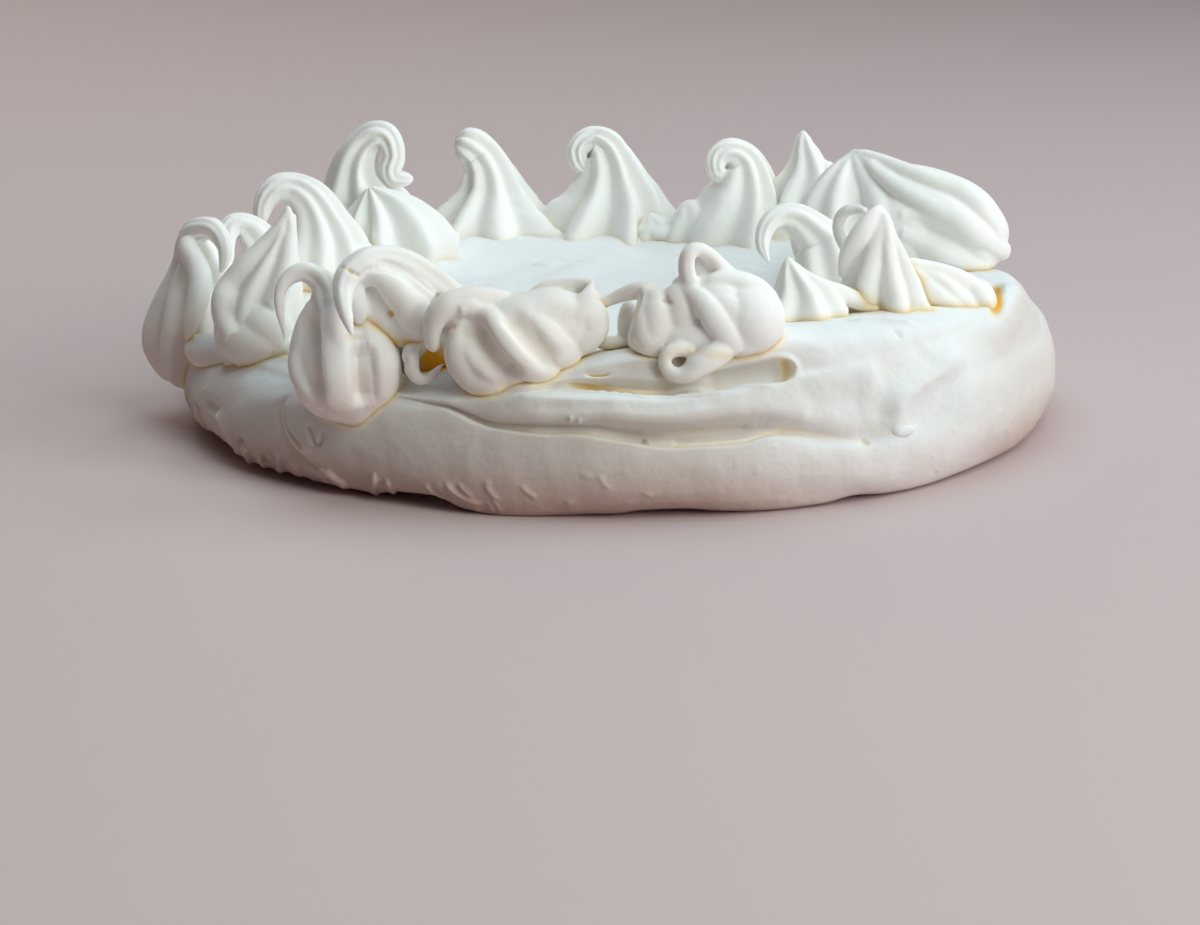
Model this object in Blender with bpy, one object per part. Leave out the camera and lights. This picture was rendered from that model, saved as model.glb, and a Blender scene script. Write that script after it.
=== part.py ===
"""Pavlova: a round meringue base, thick at its wall and sunk at its middle, with a ring of piped kisses on it.

Metres, +Z up. The origin is on the underside, at the middle of the base. The front of the base faces -Y.
"""

import math

import bmesh
import bpy
from mathutils import Matrix, Vector

MM = 0.001

# Base: a flat foot, a rounded lower roll, a crease, an upper layer, a rim, and the well inside it.
# Each table gives a size round the compass, in degrees from +X towards +Y; the front is at -90.
BASE_SEGMENTS = 48
FOOT_RADII = {
    -180: 106 * MM, -150: 106 * MM, -125: 104 * MM, -90: 101 * MM, -45: 103 * MM, 0: 105 * MM, 90: 103 * MM,
}
ROLL_RADII = {
    -180: 114 * MM, -145: 113 * MM, -90: 109 * MM, -40: 112 * MM, 0: 114 * MM, 60: 110 * MM, 120: 111 * MM,
}
SEAM_HEIGHTS = {
    -180: 19 * MM, -140: 20 * MM, -118: 22 * MM, -90: 18.5 * MM, -60: 19 * MM, -25: 24 * MM, 0: 25 * MM, 90: 17 * MM,
}
SEAM_DEPTHS = {
    -180: 2 * MM, -140: 1 * MM, -110: 4 * MM, -70: 4 * MM, -45: 1 * MM, 0: 1.5 * MM, 60: 3 * MM, 120: 4 * MM,
}
SHELF_DEPTHS = {-180: 1 * MM, -130: 1 * MM, -105: 7 * MM, -75: 7 * MM, -60: 1 * MM, 0: 1 * MM, 90: 3 * MM}
RIM_HEIGHTS = {
    -180: 25 * MM, -150: 24 * MM, -125: 25 * MM, -105: 31 * MM, -80: 37 * MM, -58: 41 * MM, -38: 38 * MM,
    -20: 34 * MM, -5: 37 * MM, 15: 34 * MM, 45: 32 * MM, 90: 31 * MM, 140: 29 * MM,
}
LIP_RADIUS = 108.0 * MM
RIM_RADIUS = 98.0 * MM
WELL_RADIUS = 60.0 * MM
WELL_HEIGHT = 29.0 * MM
ROLL_STEPS = 6
WELL_STEPS = (82, 70, 58, 30)

# Kisses: what the star nozzle gives all of them.
RIBS = 8
RIB_DEPTH = 0.2
POINTS_PER_RIB = 2
BODY_RINGS = 6
LONG_TAIL = 10 * MM
TIP_RADIUS = 0.5 * MM
PATH_STEPS = 12

# What a trimmed kiss keeps clear of the base and of its neighbours.
GAP = 0.35 * MM

MERINGUE = (0.86, 0.85, 0.80, 1.0)
BAKED_MERINGUE = (0.82, 0.77, 0.70, 1.0)


def smoothstep(value):
    """0 below 0, 1 above 1, and an S between them."""
    value = min(1.0, max(0.0, value))
    return value * value * (3.0 - 2.0 * value)


def round_the_compass(table, degrees):
    """The value of a table of compass points at an angle, eased between its neighbours."""
    angles = sorted(table)
    degrees = (degrees - angles[0]) % 360.0 + angles[0]
    following = angles[1:] + [angles[0] + 360]
    for low, high in zip(angles, following):
        if degrees <= high:
            share = smoothstep((degrees - low) / (high - low))
            return table[low] * (1.0 - share) + table[(high + 180) % 360 - 180] * share
    return table[angles[0]]


def matte(name, colour):
    """A dry, matte meringue finish."""
    material = bpy.data.materials.new(name)
    material.use_nodes = True
    shader = material.node_tree.nodes["Principled BSDF"]
    shader.inputs["Base Color"].default_value = colour
    shader.inputs["Roughness"].default_value = 0.85
    return material


def add_object(name, mesh_data, material):
    """A named object of a bmesh, shaded smooth."""
    mesh = bpy.data.meshes.new(name)
    mesh_data.to_mesh(mesh)
    mesh_data.free()
    mesh.materials.append(material)
    mesh.shade_smooth()
    made = bpy.data.objects.new(name, mesh)
    bpy.context.scene.collection.objects.link(made)
    return made


def base_outline(degrees):
    """The base's outline at one compass angle, from its foot up its wall and in to the well: (radius, height)."""
    foot = round_the_compass(FOOT_RADII, degrees)
    roll = round_the_compass(ROLL_RADII, degrees)
    seam = round_the_compass(SEAM_HEIGHTS, degrees)
    crease = round_the_compass(SEAM_DEPTHS, degrees)
    shelf = round_the_compass(SHELF_DEPTHS, degrees)
    rim = round_the_compass(RIM_HEIGHTS, degrees)
    shelf_height = seam + 0.5 * (rim - seam)
    inner = LIP_RADIUS - 3.0 * MM - shelf
    outline = [(foot, 0.0)]
    for step in range(1, ROLL_STEPS):
        turn = math.pi * (step / ROLL_STEPS - 0.5)
        reach = foot if turn < 0 else LIP_RADIUS - crease
        outline.append((reach + (roll - reach) * math.cos(turn), 0.5 * seam * (1.0 + math.sin(turn))))
    outline += [
        (LIP_RADIUS - crease, seam),
        (LIP_RADIUS, seam + 1.5 * MM),
        (LIP_RADIUS, seam + 0.6 * (shelf_height - seam)),
        (LIP_RADIUS - 3.0 * MM, shelf_height),
        (inner, shelf_height + 0.1 * (rim - seam)),
        (inner - 0.3 * (inner - RIM_RADIUS + 6.0 * MM), rim - 1.5 * MM),
        (RIM_RADIUS - 6.0 * MM, rim),
    ]
    for reach in WELL_STEPS:
        share = smoothstep((reach * MM - 0.8 * WELL_RADIUS) / (RIM_RADIUS - 6.0 * MM - 0.8 * WELL_RADIUS))
        outline.append((reach * MM, WELL_HEIGHT + (rim - WELL_HEIGHT) * share))
    return outline


def body_radius(share, foot, neck, bulge, belly):
    """A piped bulb's radius from its foot (0) to its neck (1), as a share of its widest, which is at the bulge."""
    if share < bulge:
        return foot + (1.0 - foot) * math.sin(0.5 * math.pi * share / bulge)
    fall = 0.5 + 0.5 * math.cos(math.pi * (share - bulge) / (1.0 - bulge))
    return neck + (1.0 - neck) * fall ** belly


def turn_at(share, sizes):
    """How far a kiss has bent, in radians, at a share of its length: its curl, less the flick of its very tip."""
    bend_from, bend_to = sizes["bend"]
    curl = math.radians(sizes["curl"]) * smoothstep((share - bend_from) / (bend_to - bend_from))
    return curl - math.radians(sizes["flick"]) * smoothstep((share - 0.8) / 0.2)


def kiss_rings(sizes):
    """The rings of a kiss, from its foot to its tip: (centre, two directions across, radius, twist)."""
    body = sizes["body"]
    tail = sizes["tail"]
    length = body + tail
    half = 0.5 * sizes["width"]
    lean = math.radians(sizes["lean"])
    lean_to = math.radians(sizes["lean_to"])
    start = Vector((math.sin(lean) * math.cos(lean_to), math.sin(lean) * math.sin(lean_to), math.cos(lean)))
    across = start.orthogonal().normalized()
    curl_to = math.radians(sizes["curl_to"])
    curl_axis = Vector((-math.sin(curl_to), math.cos(curl_to), 0.0))
    at = math.radians(sizes["angle"])
    centre = Vector((sizes["reach"] * math.cos(at), sizes["reach"] * math.sin(at), sizes["height"]))
    tail_rings = 5 if tail > LONG_TAIL else 2
    stations = [body * step / BODY_RINGS for step in range(BODY_RINGS)]
    stations += [body + tail * step / tail_rings for step in range(tail_rings + 1)]
    rings = []
    last = 0.0
    for station in stations:
        stride = (station - last) / PATH_STEPS
        for part in range(PATH_STEPS):
            turn = turn_at((last + stride * (part + 0.5)) / length, sizes)
            centre = centre + Matrix.Rotation(turn, 3, curl_axis) @ start * stride
        last = station
        share = station / length
        swing = Matrix.Rotation(turn_at(share, sizes), 3, curl_axis)
        side = swing @ across
        if station < body:
            shape = body_radius(station / body, sizes["foot"], sizes["neck"] / half, sizes["bulge"], sizes["belly"])
            radius = half * shape
        else:
            along = (station - body) / tail
            radius = TIP_RADIUS + (sizes["neck"] - TIP_RADIUS) * (1.0 - along ** sizes["taper"])
        rings.append((centre, side, (swing @ start).cross(side), radius, math.radians(sizes["twist"]) * share))
    return rings


def next_ring(mesh_data, edges):
    """Extrudes a ring of edges, and gives the new ring's edges and, for each new point, the old one under it."""
    grown = bmesh.ops.extrude_edge_only(mesh_data, edges=edges)["geom"]
    points = {part for part in grown if isinstance(part, bmesh.types.BMVert)}
    ring = [part for part in grown if isinstance(part, bmesh.types.BMEdge) and points.issuperset(part.verts)]
    under = {}
    for point in points:
        for edge in point.link_edges:
            other = edge.other_vert(point)
            if other not in points:
                under[point] = other
    return ring, under


def first_ring(mesh_data, segments):
    """A closed disc of edges to extrude from, and the number of each point round it."""
    bmesh.ops.create_circle(mesh_data, segments=segments, radius=1.0, cap_ends=True)
    points = sorted(mesh_data.verts, key=lambda point: math.atan2(point.co.y, point.co.x))
    return mesh_data.edges[:], {point: number for number, point in enumerate(points)}


def close_and_face_out(mesh_data, edges):
    """Caps the last ring and points every face outwards."""
    bmesh.ops.contextual_create(mesh_data, geom=edges)
    bmesh.ops.recalc_face_normals(mesh_data, faces=mesh_data.faces)


def make_base(material):
    """The base: one ring of points drawn out from under its foot, up its wall and in over its top."""
    mesh_data = bmesh.new()
    edges, numbers = first_ring(mesh_data, BASE_SEGMENTS)
    turns = [2.0 * math.pi * number / BASE_SEGMENTS - math.pi for number in range(BASE_SEGMENTS)]
    outlines = [base_outline(math.degrees(turn)) for turn in turns]
    for row in range(len(outlines[0])):
        if row:
            edges, under = next_ring(mesh_data, edges)
            numbers = {point: numbers[below] for point, below in under.items()}
        for point, number in numbers.items():
            reach, height = outlines[number][row]
            point.co = (reach * math.cos(turns[number]), reach * math.sin(turns[number]), height)
    close_and_face_out(mesh_data, edges)
    return add_object("base", mesh_data, material)


def make_kiss(name, material, **given):
    """One piped kiss: a ribbed ring drawn from its foot, through its bulge and neck, to its tip."""
    sizes = {"foot": 0.78, "bulge": 0.27, "belly": 1.0, "neck": 2.6 * MM, "taper": 1.4, "twist": 20.0,
             "bend": (0.35, 1.0), "flick": 0.0}
    sizes.update(given)
    segments = RIBS * POINTS_PER_RIB
    mesh_data = bmesh.new()
    edges, numbers = first_ring(mesh_data, segments)
    for count, (centre, side, other, radius, twist) in enumerate(kiss_rings(sizes)):
        if count:
            edges, under = next_ring(mesh_data, edges)
            numbers = {point: numbers[below] for point, below in under.items()}
        for point, number in numbers.items():
            turn = 2.0 * math.pi * number / segments + twist
            reach = radius * (1.0 - RIB_DEPTH * (number % POINTS_PER_RIB))
            point.co = centre + (side * math.cos(turn) + other * math.sin(turn)) * reach
    close_and_face_out(mesh_data, edges)
    return add_object(name, mesh_data, material)


def grown_copy(piece):
    """A cutter as large as a piece and its gap."""
    mesh = piece.data.copy()
    normals = [vert.normal.copy() for vert in mesh.vertices]
    for vert, normal in zip(mesh.vertices, normals):
        vert.co += normal * GAP
    cutter = bpy.data.objects.new(piece.name + "_cutter", mesh)
    bpy.context.scene.collection.objects.link(cutter)
    return cutter


def boxes_meet(one, other):
    """True where the boxes round two pieces overlap."""
    low_one, high_one = box_of(one)
    low_other, high_other = box_of(other)
    return all(low_one[axis] < high_other[axis] and low_other[axis] < high_one[axis] for axis in range(3))


def box_of(piece):
    """A piece's lowest and highest corners."""
    places = [vert.co for vert in piece.data.vertices]
    low = [min(place[axis] for place in places) for axis in range(3)]
    high = [max(place[axis] for place in places) for axis in range(3)]
    return low, high


def keep_largest_body(mesh_data):
    """Deletes every loose scrap that a cut leaves beside the main body."""
    left = set(mesh_data.verts)
    bodies = []
    while left:
        body = set()
        edge_of_search = [left.pop()]
        while edge_of_search:
            vert = edge_of_search.pop()
            body.add(vert)
            near = [edge.other_vert(vert) for edge in vert.link_edges]
            fresh = [other for other in near if other in left]
            left.difference_update(fresh)
            edge_of_search.extend(fresh)
        bodies.append(body)
    bodies.sort(key=len)
    scraps = [vert for body in bodies[:-1] for vert in body]
    bmesh.ops.delete(mesh_data, geom=scraps, context="VERTS")


def trim(piece, placed):
    """Cuts a kiss back from the base and from the kisses already placed."""
    for earlier in placed:
        if not boxes_meet(piece, earlier):
            continue
        cutter = grown_copy(earlier)
        cut = piece.modifiers.new("trim", "BOOLEAN")
        cut.operation = "DIFFERENCE"
        cut.solver = "EXACT"
        cut.use_self = True
        cut.object = cutter
        seen = piece.evaluated_get(bpy.context.evaluated_depsgraph_get())
        mesh_data = bmesh.new()
        mesh_data.from_mesh(seen.to_mesh())
        piece.modifiers.remove(cut)
        keep_largest_body(mesh_data)
        mesh_data.to_mesh(piece.data)
        mesh_data.free()
        bpy.data.objects.remove(cutter, do_unlink=True)


KISSES = {
    "kiss_left_outer": dict(angle=-173, reach=105 * MM, height=11 * MM, width=31 * MM, foot=0.5, body=34 * MM,
                            tail=15 * MM, lean=12, lean_to=180, curl=160, curl_to=0, bend=(0.5, 1.0)),
    "kiss_left_arch": dict(angle=174, reach=90 * MM, height=27 * MM, width=26 * MM, body=20 * MM,
                           tail=17 * MM, lean=8, lean_to=180, curl=175, curl_to=180, neck=2.8 * MM),
    "kiss_left_peak": dict(angle=-154, reach=97 * MM, height=23 * MM, width=28 * MM, body=34 * MM,
                           tail=7 * MM, lean=6, lean_to=0, curl=10, curl_to=0, neck=2.0 * MM),
    "kiss_left_hook": dict(angle=163, reach=82 * MM, height=29 * MM, width=33 * MM, body=26 * MM,
                           tail=18 * MM, lean=6, lean_to=180, curl=190, curl_to=180, neck=3.4 * MM),
    "kiss_front_hook": dict(angle=-125, reach=101 * MM, height=18 * MM, width=31 * MM, foot=0.5, body=30 * MM,
                            tail=26 * MM, lean=22, lean_to=180, curl=166, curl_to=185, neck=3.2 * MM, belly=0.6,
                            bend=(0.5, 0.85), twist=8),
    "kiss_front_claw": dict(angle=-118, reach=88 * MM, height=30 * MM, width=28 * MM, body=27 * MM,
                            tail=31 * MM, lean=22, lean_to=180, curl=155, curl_to=190, neck=4.0 * MM,
                            bend=(0.25, 0.85), twist=20),
    "kiss_front_turned": dict(angle=-112, reach=100 * MM, height=28 * MM, width=32 * MM, foot=0.6, body=28 * MM,
                              tail=11 * MM, lean=52, lean_to=10, curl=5, curl_to=0, neck=9 * MM, twist=95),
    "kiss_front_shell": dict(angle=-77, reach=90 * MM, height=36 * MM, width=35 * MM, body=21 * MM,
                             tail=11 * MM, lean=12, lean_to=180, curl=190, curl_to=0, neck=4.4 * MM, twist=30,
                             bend=(0.5, 1.0)),
    "kiss_right_small": dict(angle=-55, reach=75 * MM, height=33 * MM, width=22 * MM, body=16 * MM,
                             tail=4 * MM, lean=8, lean_to=180, curl=10, curl_to=180, neck=1.8 * MM),
    "kiss_right_peak": dict(angle=-39, reach=83 * MM, height=34 * MM, width=28 * MM, body=23 * MM,
                            tail=6 * MM, lean=0, lean_to=0, curl=15, curl_to=180, neck=2.4 * MM),
    "kiss_right_low": dict(angle=-22, reach=98 * MM, height=31 * MM, width=28 * MM, body=26 * MM,
                           tail=7 * MM, lean=60, lean_to=165, curl=5, curl_to=180),
    "kiss_right_arch": dict(angle=-2, reach=64 * MM, height=30 * MM, width=24 * MM, body=20 * MM,
                            tail=17 * MM, lean=28, lean_to=180, curl=140, curl_to=180),
    "kiss_right_long": dict(angle=7, reach=94 * MM, height=33 * MM, width=38 * MM, body=36 * MM,
                            tail=8 * MM, lean=55, lean_to=138, curl=-12, curl_to=138, neck=3.4 * MM),
    "kiss_back_right": dict(angle=36, reach=91 * MM, height=31 * MM, width=30 * MM, body=20 * MM,
                            tail=5 * MM, lean=5, lean_to=90, curl=40, curl_to=180),
    "kiss_back_peak": dict(angle=54, reach=93 * MM, height=30 * MM, width=27 * MM, body=26 * MM,
                           tail=5 * MM, lean=0, lean_to=0, curl=10, curl_to=180, neck=2.4 * MM),
    "kiss_back_curl": dict(angle=65, reach=81 * MM, height=30 * MM, width=32 * MM, bulge=0.12, body=27 * MM,
                           tail=13 * MM, lean=0, lean_to=0, curl=200, curl_to=180, neck=3.4 * MM),
    "kiss_back_middle": dict(angle=90, reach=87 * MM, height=29 * MM, width=37 * MM, bulge=0.1, body=27 * MM,
                             tail=9 * MM, lean=0, lean_to=0, curl=95, curl_to=180, neck=3.4 * MM),
    "kiss_back_bent": dict(angle=113, reach=88 * MM, height=29 * MM, width=37 * MM, bulge=0.1, body=27 * MM,
                           tail=8 * MM, lean=4, lean_to=180, curl=60, curl_to=180, neck=3.6 * MM),
    "kiss_back_low": dict(angle=141, reach=70 * MM, height=29 * MM, width=28 * MM, bulge=0.12, body=17 * MM,
                          tail=3 * MM, lean=20, lean_to=165, curl=5, curl_to=180, neck=2.4 * MM),
    "kiss_back_loop": dict(angle=144, reach=91 * MM, height=30 * MM, width=34 * MM, body=31 * MM,
                           tail=23 * MM, lean=0, lean_to=0, curl=195, curl_to=0, neck=4.0 * MM, flick=70),
}


def main():
    for item in list(bpy.data.objects):
        bpy.data.objects.remove(item, do_unlink=True)
    placed = [make_base(matte("baked_meringue", BAKED_MERINGUE))]
    meringue = matte("meringue", MERINGUE)
    for name, sizes in KISSES.items():
        kiss = make_kiss(name, meringue, **sizes)
        trim(kiss, placed)
        placed.append(kiss)


main()
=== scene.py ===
# %% [markdown]
# # A pavlova with piped kisses
# A pavlova is one thick disc of baked meringue with a ring of piped kisses round its edge. Every piece here is dry,
# matte and slightly see-through foam, so form and soft light do nearly all the work. We start from a fixed frame of
# plain solids in metres, and make a finely shaped piece for each one.

import math

import bmesh
import bpy
import numpy as np
from mathutils import Matrix, Vector
from mathutils.bvhtree import BVHTree
from mathutils.kdtree import KDTree


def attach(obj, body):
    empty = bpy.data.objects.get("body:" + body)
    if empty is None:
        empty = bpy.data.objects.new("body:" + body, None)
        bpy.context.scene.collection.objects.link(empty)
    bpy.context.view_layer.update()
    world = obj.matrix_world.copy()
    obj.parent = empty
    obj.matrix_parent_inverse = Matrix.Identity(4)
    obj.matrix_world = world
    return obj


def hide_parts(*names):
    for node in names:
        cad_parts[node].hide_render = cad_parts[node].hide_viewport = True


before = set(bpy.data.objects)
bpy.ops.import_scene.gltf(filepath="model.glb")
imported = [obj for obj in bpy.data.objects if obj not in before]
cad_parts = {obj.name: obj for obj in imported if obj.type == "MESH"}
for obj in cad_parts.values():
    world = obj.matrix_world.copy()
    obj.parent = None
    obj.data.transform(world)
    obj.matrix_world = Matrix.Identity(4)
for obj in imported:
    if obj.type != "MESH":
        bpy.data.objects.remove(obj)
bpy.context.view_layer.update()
print("solids in the frame:", len(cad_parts))

# %% [markdown]
# ## Camera
# The table is seen from a little above, through a long lens, so the far kisses look nearly as large as the near ones.
# The camera is placed by its distance and its height angle, which are easier to judge than a position.

# %% Camera
CAMERA_DISTANCE = 0.842
CAMERA_HEIGHT_ANGLE = math.radians(14.3)
CAMERA_TILT = math.radians(15.33)
CAMERA_ASIDE = -0.0047
LENS_LENGTH = 96.0
SENSOR_WIDTH = 36.0

lens = bpy.data.cameras.new("camera")
lens.lens = LENS_LENGTH
lens.sensor_width = SENSOR_WIDTH
camera = bpy.data.objects.new("camera", lens)
bpy.context.scene.collection.objects.link(camera)
camera.location = (
    CAMERA_ASIDE,
    -CAMERA_DISTANCE * math.cos(CAMERA_HEIGHT_ANGLE),
    CAMERA_DISTANCE * math.sin(CAMERA_HEIGHT_ANGLE),
)
camera.rotation_euler = (math.pi / 2 - CAMERA_TILT, 0.0, 0.0)
bpy.context.scene.camera = camera
print("camera at", tuple(round(value, 3) for value in camera.location))

# %% [markdown]
# ## Light
# White foam only shows its form where light and shade meet, so the light is uneven on purpose: one wide, soft window
# above, smaller ones high, level and low on the right, one in front, one behind, and a dim sky that fills the shade.
# The front wall stays in soft shade while the top is bright. The Standard view keeps whites clean.

# %% Light
LIGHT_AIM = Vector((0.0, 0.0, 0.03))
LIGHTS = [  # name, place, width, power, colour
    ("window_above", (0.0, 0.3, 1.2), 1.0, 6.6, (0.78, 0.92, 1.0)),
    ("window_high", (0.9, 0.1, 0.75), 0.6, 2.9, (0.68, 0.85, 1.0)),
    ("window_right", (0.8, -0.8, 0.5), 0.5, 4.6, (0.94, 0.98, 1.0)),
    ("window_low", (1.1, -0.25, 0.4), 0.6, 2.4, (1.0, 0.96, 0.95)),
    ("window_front", (0.4, -0.6, 1.0), 0.5, 3.5, (0.86, 1.0, 0.92)),
    ("window_back", (-0.6, 0.9, 0.7), 0.8, 3.0, (0.95, 0.90, 0.80)),
]
SKY_COLOUR = (1.0, 0.7, 0.7, 1.0)
SKY_STRENGTH = 0.02

for name, place, width, power, colour in LIGHTS:
    light = bpy.data.lights.new(name, "AREA")
    light.size = width
    light.energy = power
    light.color = colour
    window = bpy.data.objects.new(name, light)
    bpy.context.scene.collection.objects.link(window)
    window.location = place
    window.rotation_euler = (LIGHT_AIM - Vector(place)).to_track_quat("-Z", "Y").to_euler()

sky = bpy.data.worlds.new("sky")
bpy.context.scene.world = sky
sky.use_nodes = True
backdrop = sky.node_tree.nodes["Background"]
backdrop.inputs["Color"].default_value = SKY_COLOUR
backdrop.inputs["Strength"].default_value = SKY_STRENGTH
bpy.context.scene.view_settings.view_transform = "Standard"

# %% [markdown]
# ## Floor
# One large plain floor that curves up into a plain wall all round, as studio paper does, so there is no dark
# horizon. It is drawn as one line, then spun round the middle. It is pale with a touch of rose, which the lower wall
# of the pavlova picks up.

# %% Floor
FLAT_REACH = 1.7
BEND_RADIUS = 0.8
WALL_TOP = 2.6
FLOOR_COLOUR = (0.62, 0.5, 0.49, 1.0)

sweep = [(0.0, 0.0), (FLAT_REACH, 0.0)]
for turn in np.linspace(0.1, math.pi / 2, 12):
    sweep.append((FLAT_REACH + BEND_RADIUS * math.sin(turn), BEND_RADIUS - BEND_RADIUS * math.cos(turn)))
sweep.append((FLAT_REACH + BEND_RADIUS, WALL_TOP))
bowl = bmesh.new()
dots = [bowl.verts.new((reach, 0.0, height)) for reach, height in sweep]
lines = [bowl.edges.new(pair) for pair in zip(dots, dots[1:])]
bmesh.ops.spin(bowl, geom=dots + lines, cent=(0, 0, 0), axis=(0, 0, 1), angle=2 * math.pi, steps=96, use_merge=True)
bmesh.ops.remove_doubles(bowl, verts=bowl.verts, dist=0.0001)
bmesh.ops.recalc_face_normals(bowl, faces=bowl.faces)
floor_mesh = bpy.data.meshes.new("floor")
bowl.to_mesh(floor_mesh)
bowl.free()
floor_mesh.shade_smooth()
floor = bpy.data.objects.new("floor", floor_mesh)
bpy.context.scene.collection.objects.link(floor)

floor_finish = bpy.data.materials.new("floor")
floor_finish.use_nodes = True
floor_shader = floor_finish.node_tree.nodes["Principled BSDF"]
floor_shader.inputs["Base Color"].default_value = FLOOR_COLOUR
floor_shader.inputs["Roughness"].default_value = 0.7
floor_mesh.materials.append(floor_finish)
print("floor:", len(floor_mesh.polygons), "faces")

# %% [markdown]
# ## Reading a size along a curve
# Meringue has no straight lines. Each piece is described by short tables of places and sizes, and everything between
# them is read from a smooth curve. The curve used here never swings past the sizes in the table, so a wall that
# should be 108 mm at most stays so. All the shape work is done in millimetres, and only the last step makes metres.

# %% Smooth tables
MM = 0.001


def smoothstep(value):
    """0 below 0, 1 above 1, and an S between them."""
    value = np.clip(value, 0.0, 1.0)
    return value * value * (3.0 - 2.0 * value)


def read_table(table, where):
    """The size at each place, from (place, size) pairs, on a smooth curve that keeps between its neighbours."""
    places, sizes = np.array(table, float).T
    gaps = np.diff(places)
    slopes = np.diff(sizes) / gaps
    tangents = np.zeros(len(sizes))
    tangents[0] = slopes[0]
    tangents[-1] = slopes[-1]
    for inner in range(1, len(sizes) - 1):
        before, after = slopes[inner - 1], slopes[inner]
        if before * after > 0:
            tangents[inner] = 2.0 * before * after / (before + after)
    where = np.clip(where, places[0], places[-1])
    span = np.clip(np.searchsorted(places, where, side="right") - 1, 0, len(gaps) - 1)
    share = (where - places[span]) / gaps[span]
    rise = share * share * (3.0 - 2.0 * share)
    value = sizes[span] * (1.0 - rise) + sizes[span + 1] * rise
    value += share * (1.0 - share) ** 2 * gaps[span] * tangents[span]
    value += share * share * (share - 1.0) * gaps[span] * tangents[span + 1]
    return value


def read_compass(table, degrees):
    """The size at each compass angle, from a table of angles that closes on itself."""
    pairs = sorted(table.items())
    wrapped = [(angle - 360, size) for angle, size in pairs[-2:]] + pairs
    wrapped += [(angle + 360, size) for angle, size in pairs[:3]]
    return read_table(wrapped, (np.asarray(degrees, float) + 180.0) % 360.0 - 180.0)


print("half way between 1 and 3:", float(read_table([(0, 1), (1, 3)], np.array([0.5]))[0]))

# %% [markdown]
# ## A tube of rings
# The base and every kiss start as the same thing: a closed tube whose rings are later moved to where the foam is.
# A cylinder from `create_cone` has only two rings, and `subdivide_edges` cuts its upright edges into as many more as
# are needed. Each point then knows its ring (from its height) and its place in the ring (from its angle).


# %% Tube
def point_places(mesh):
    """The points of a mesh (metres), and their outward directions."""
    places = np.zeros(len(mesh.vertices) * 3)
    mesh.vertices.foreach_get("co", places)
    facing = np.zeros(len(mesh.vertices) * 3)
    mesh.vertices.foreach_get("normal", facing)
    return places.reshape(-1, 3), facing.reshape(-1, 3)


def move_points(mesh, points):
    """Puts the points of a mesh at new places (millimetres)."""
    mesh.vertices.foreach_set("co", (points * MM).ravel())
    mesh.update()


def make_tube(sides, rings):
    """A mesh of a closed tube, and for each of its points the ring that it is in (0 at the foot) and its angle."""
    tube = bmesh.new()
    bmesh.ops.create_cone(tube, cap_ends=True, segments=sides, radius1=1.0, radius2=1.0, depth=1.0)
    uprights = [edge for edge in tube.edges if abs(edge.verts[0].co.z - edge.verts[1].co.z) > 0.5]
    bmesh.ops.subdivide_edges(tube, edges=uprights, cuts=rings - 1)
    mesh = bpy.data.meshes.new("tube")
    tube.to_mesh(mesh)
    tube.free()
    places = point_places(mesh)[0]
    ring = np.rint((places[:, 2] + 0.5) * rings).astype(int)
    angle = np.arctan2(places[:, 1], places[:, 0])
    return mesh, ring, angle


def finish_piece(name, mesh, points, stands_for):
    """Moves a tube's points into place (millimetres), and makes it a piece that stands for a solid of the frame."""
    mesh.name = name
    move_points(mesh, points)
    mesh.shade_smooth()
    piece = bpy.data.objects.new(name, mesh)
    bpy.context.scene.collection.objects.link(piece)
    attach(piece, "root")
    if stands_for:
        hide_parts(stands_for)
    return piece


test_mesh, test_ring, test_angle = make_tube(8, 4)
print("a tube of 8 sides and 4 rings has", len(test_mesh.vertices), "points in rings 0 to", test_ring.max())
bpy.data.meshes.remove(test_mesh)

# %% [markdown]
# ## Grain and pores
# Baked meringue is a dry foam: its skin has a very fine grain, low bumps where bubbles lie under it, and here and
# there a pin-sized pore where one broke. Both finishes need this, so it is one shader group with named inputs. It
# puts out a height for a Bump node and a mask of the pores. Scales are in lumps to a metre.


# %% Grain group
def add_socket(group, name, direction, kind, value=None):
    """Adds a named input or output to a shader group."""
    socket = group.interface.new_socket(name=name, in_out=direction, socket_type=kind)
    if value is not None:
        socket.default_value = value


def add_node(tree, kind, x, y, **settings):
    """Adds a shader node at a place on the sheet, with its settings."""
    node = tree.nodes.new(kind)
    node.location = (x, y)
    for setting, value in settings.items():
        setattr(node, setting, value)
    return node


def set_inputs(node, **values):
    """Sets a node's inputs; an underscore in a name here stands for a space in the input's name."""
    for name, value in values.items():
        node.inputs[name.replace("_", " ")].default_value = value
    return node


def add_math(tree, operation, x, y, first, second, clamp=False):
    """Adds a Math node; each of its two values is a number or another node's output."""
    node = add_node(tree, "ShaderNodeMath", x, y, operation=operation, use_clamp=clamp)
    for socket, value in zip(node.inputs, (first, second)):
        if isinstance(value, (int, float)):
            socket.default_value = value
        else:
            tree.links.new(value, socket)
    return node.outputs[0]


PORE_CHANCE = 0.86  # a cell of the pattern has a pore when its random value is over this
PORE_RADIUS = 0.05
GRAIN_HEIGHT = 0.12


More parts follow.
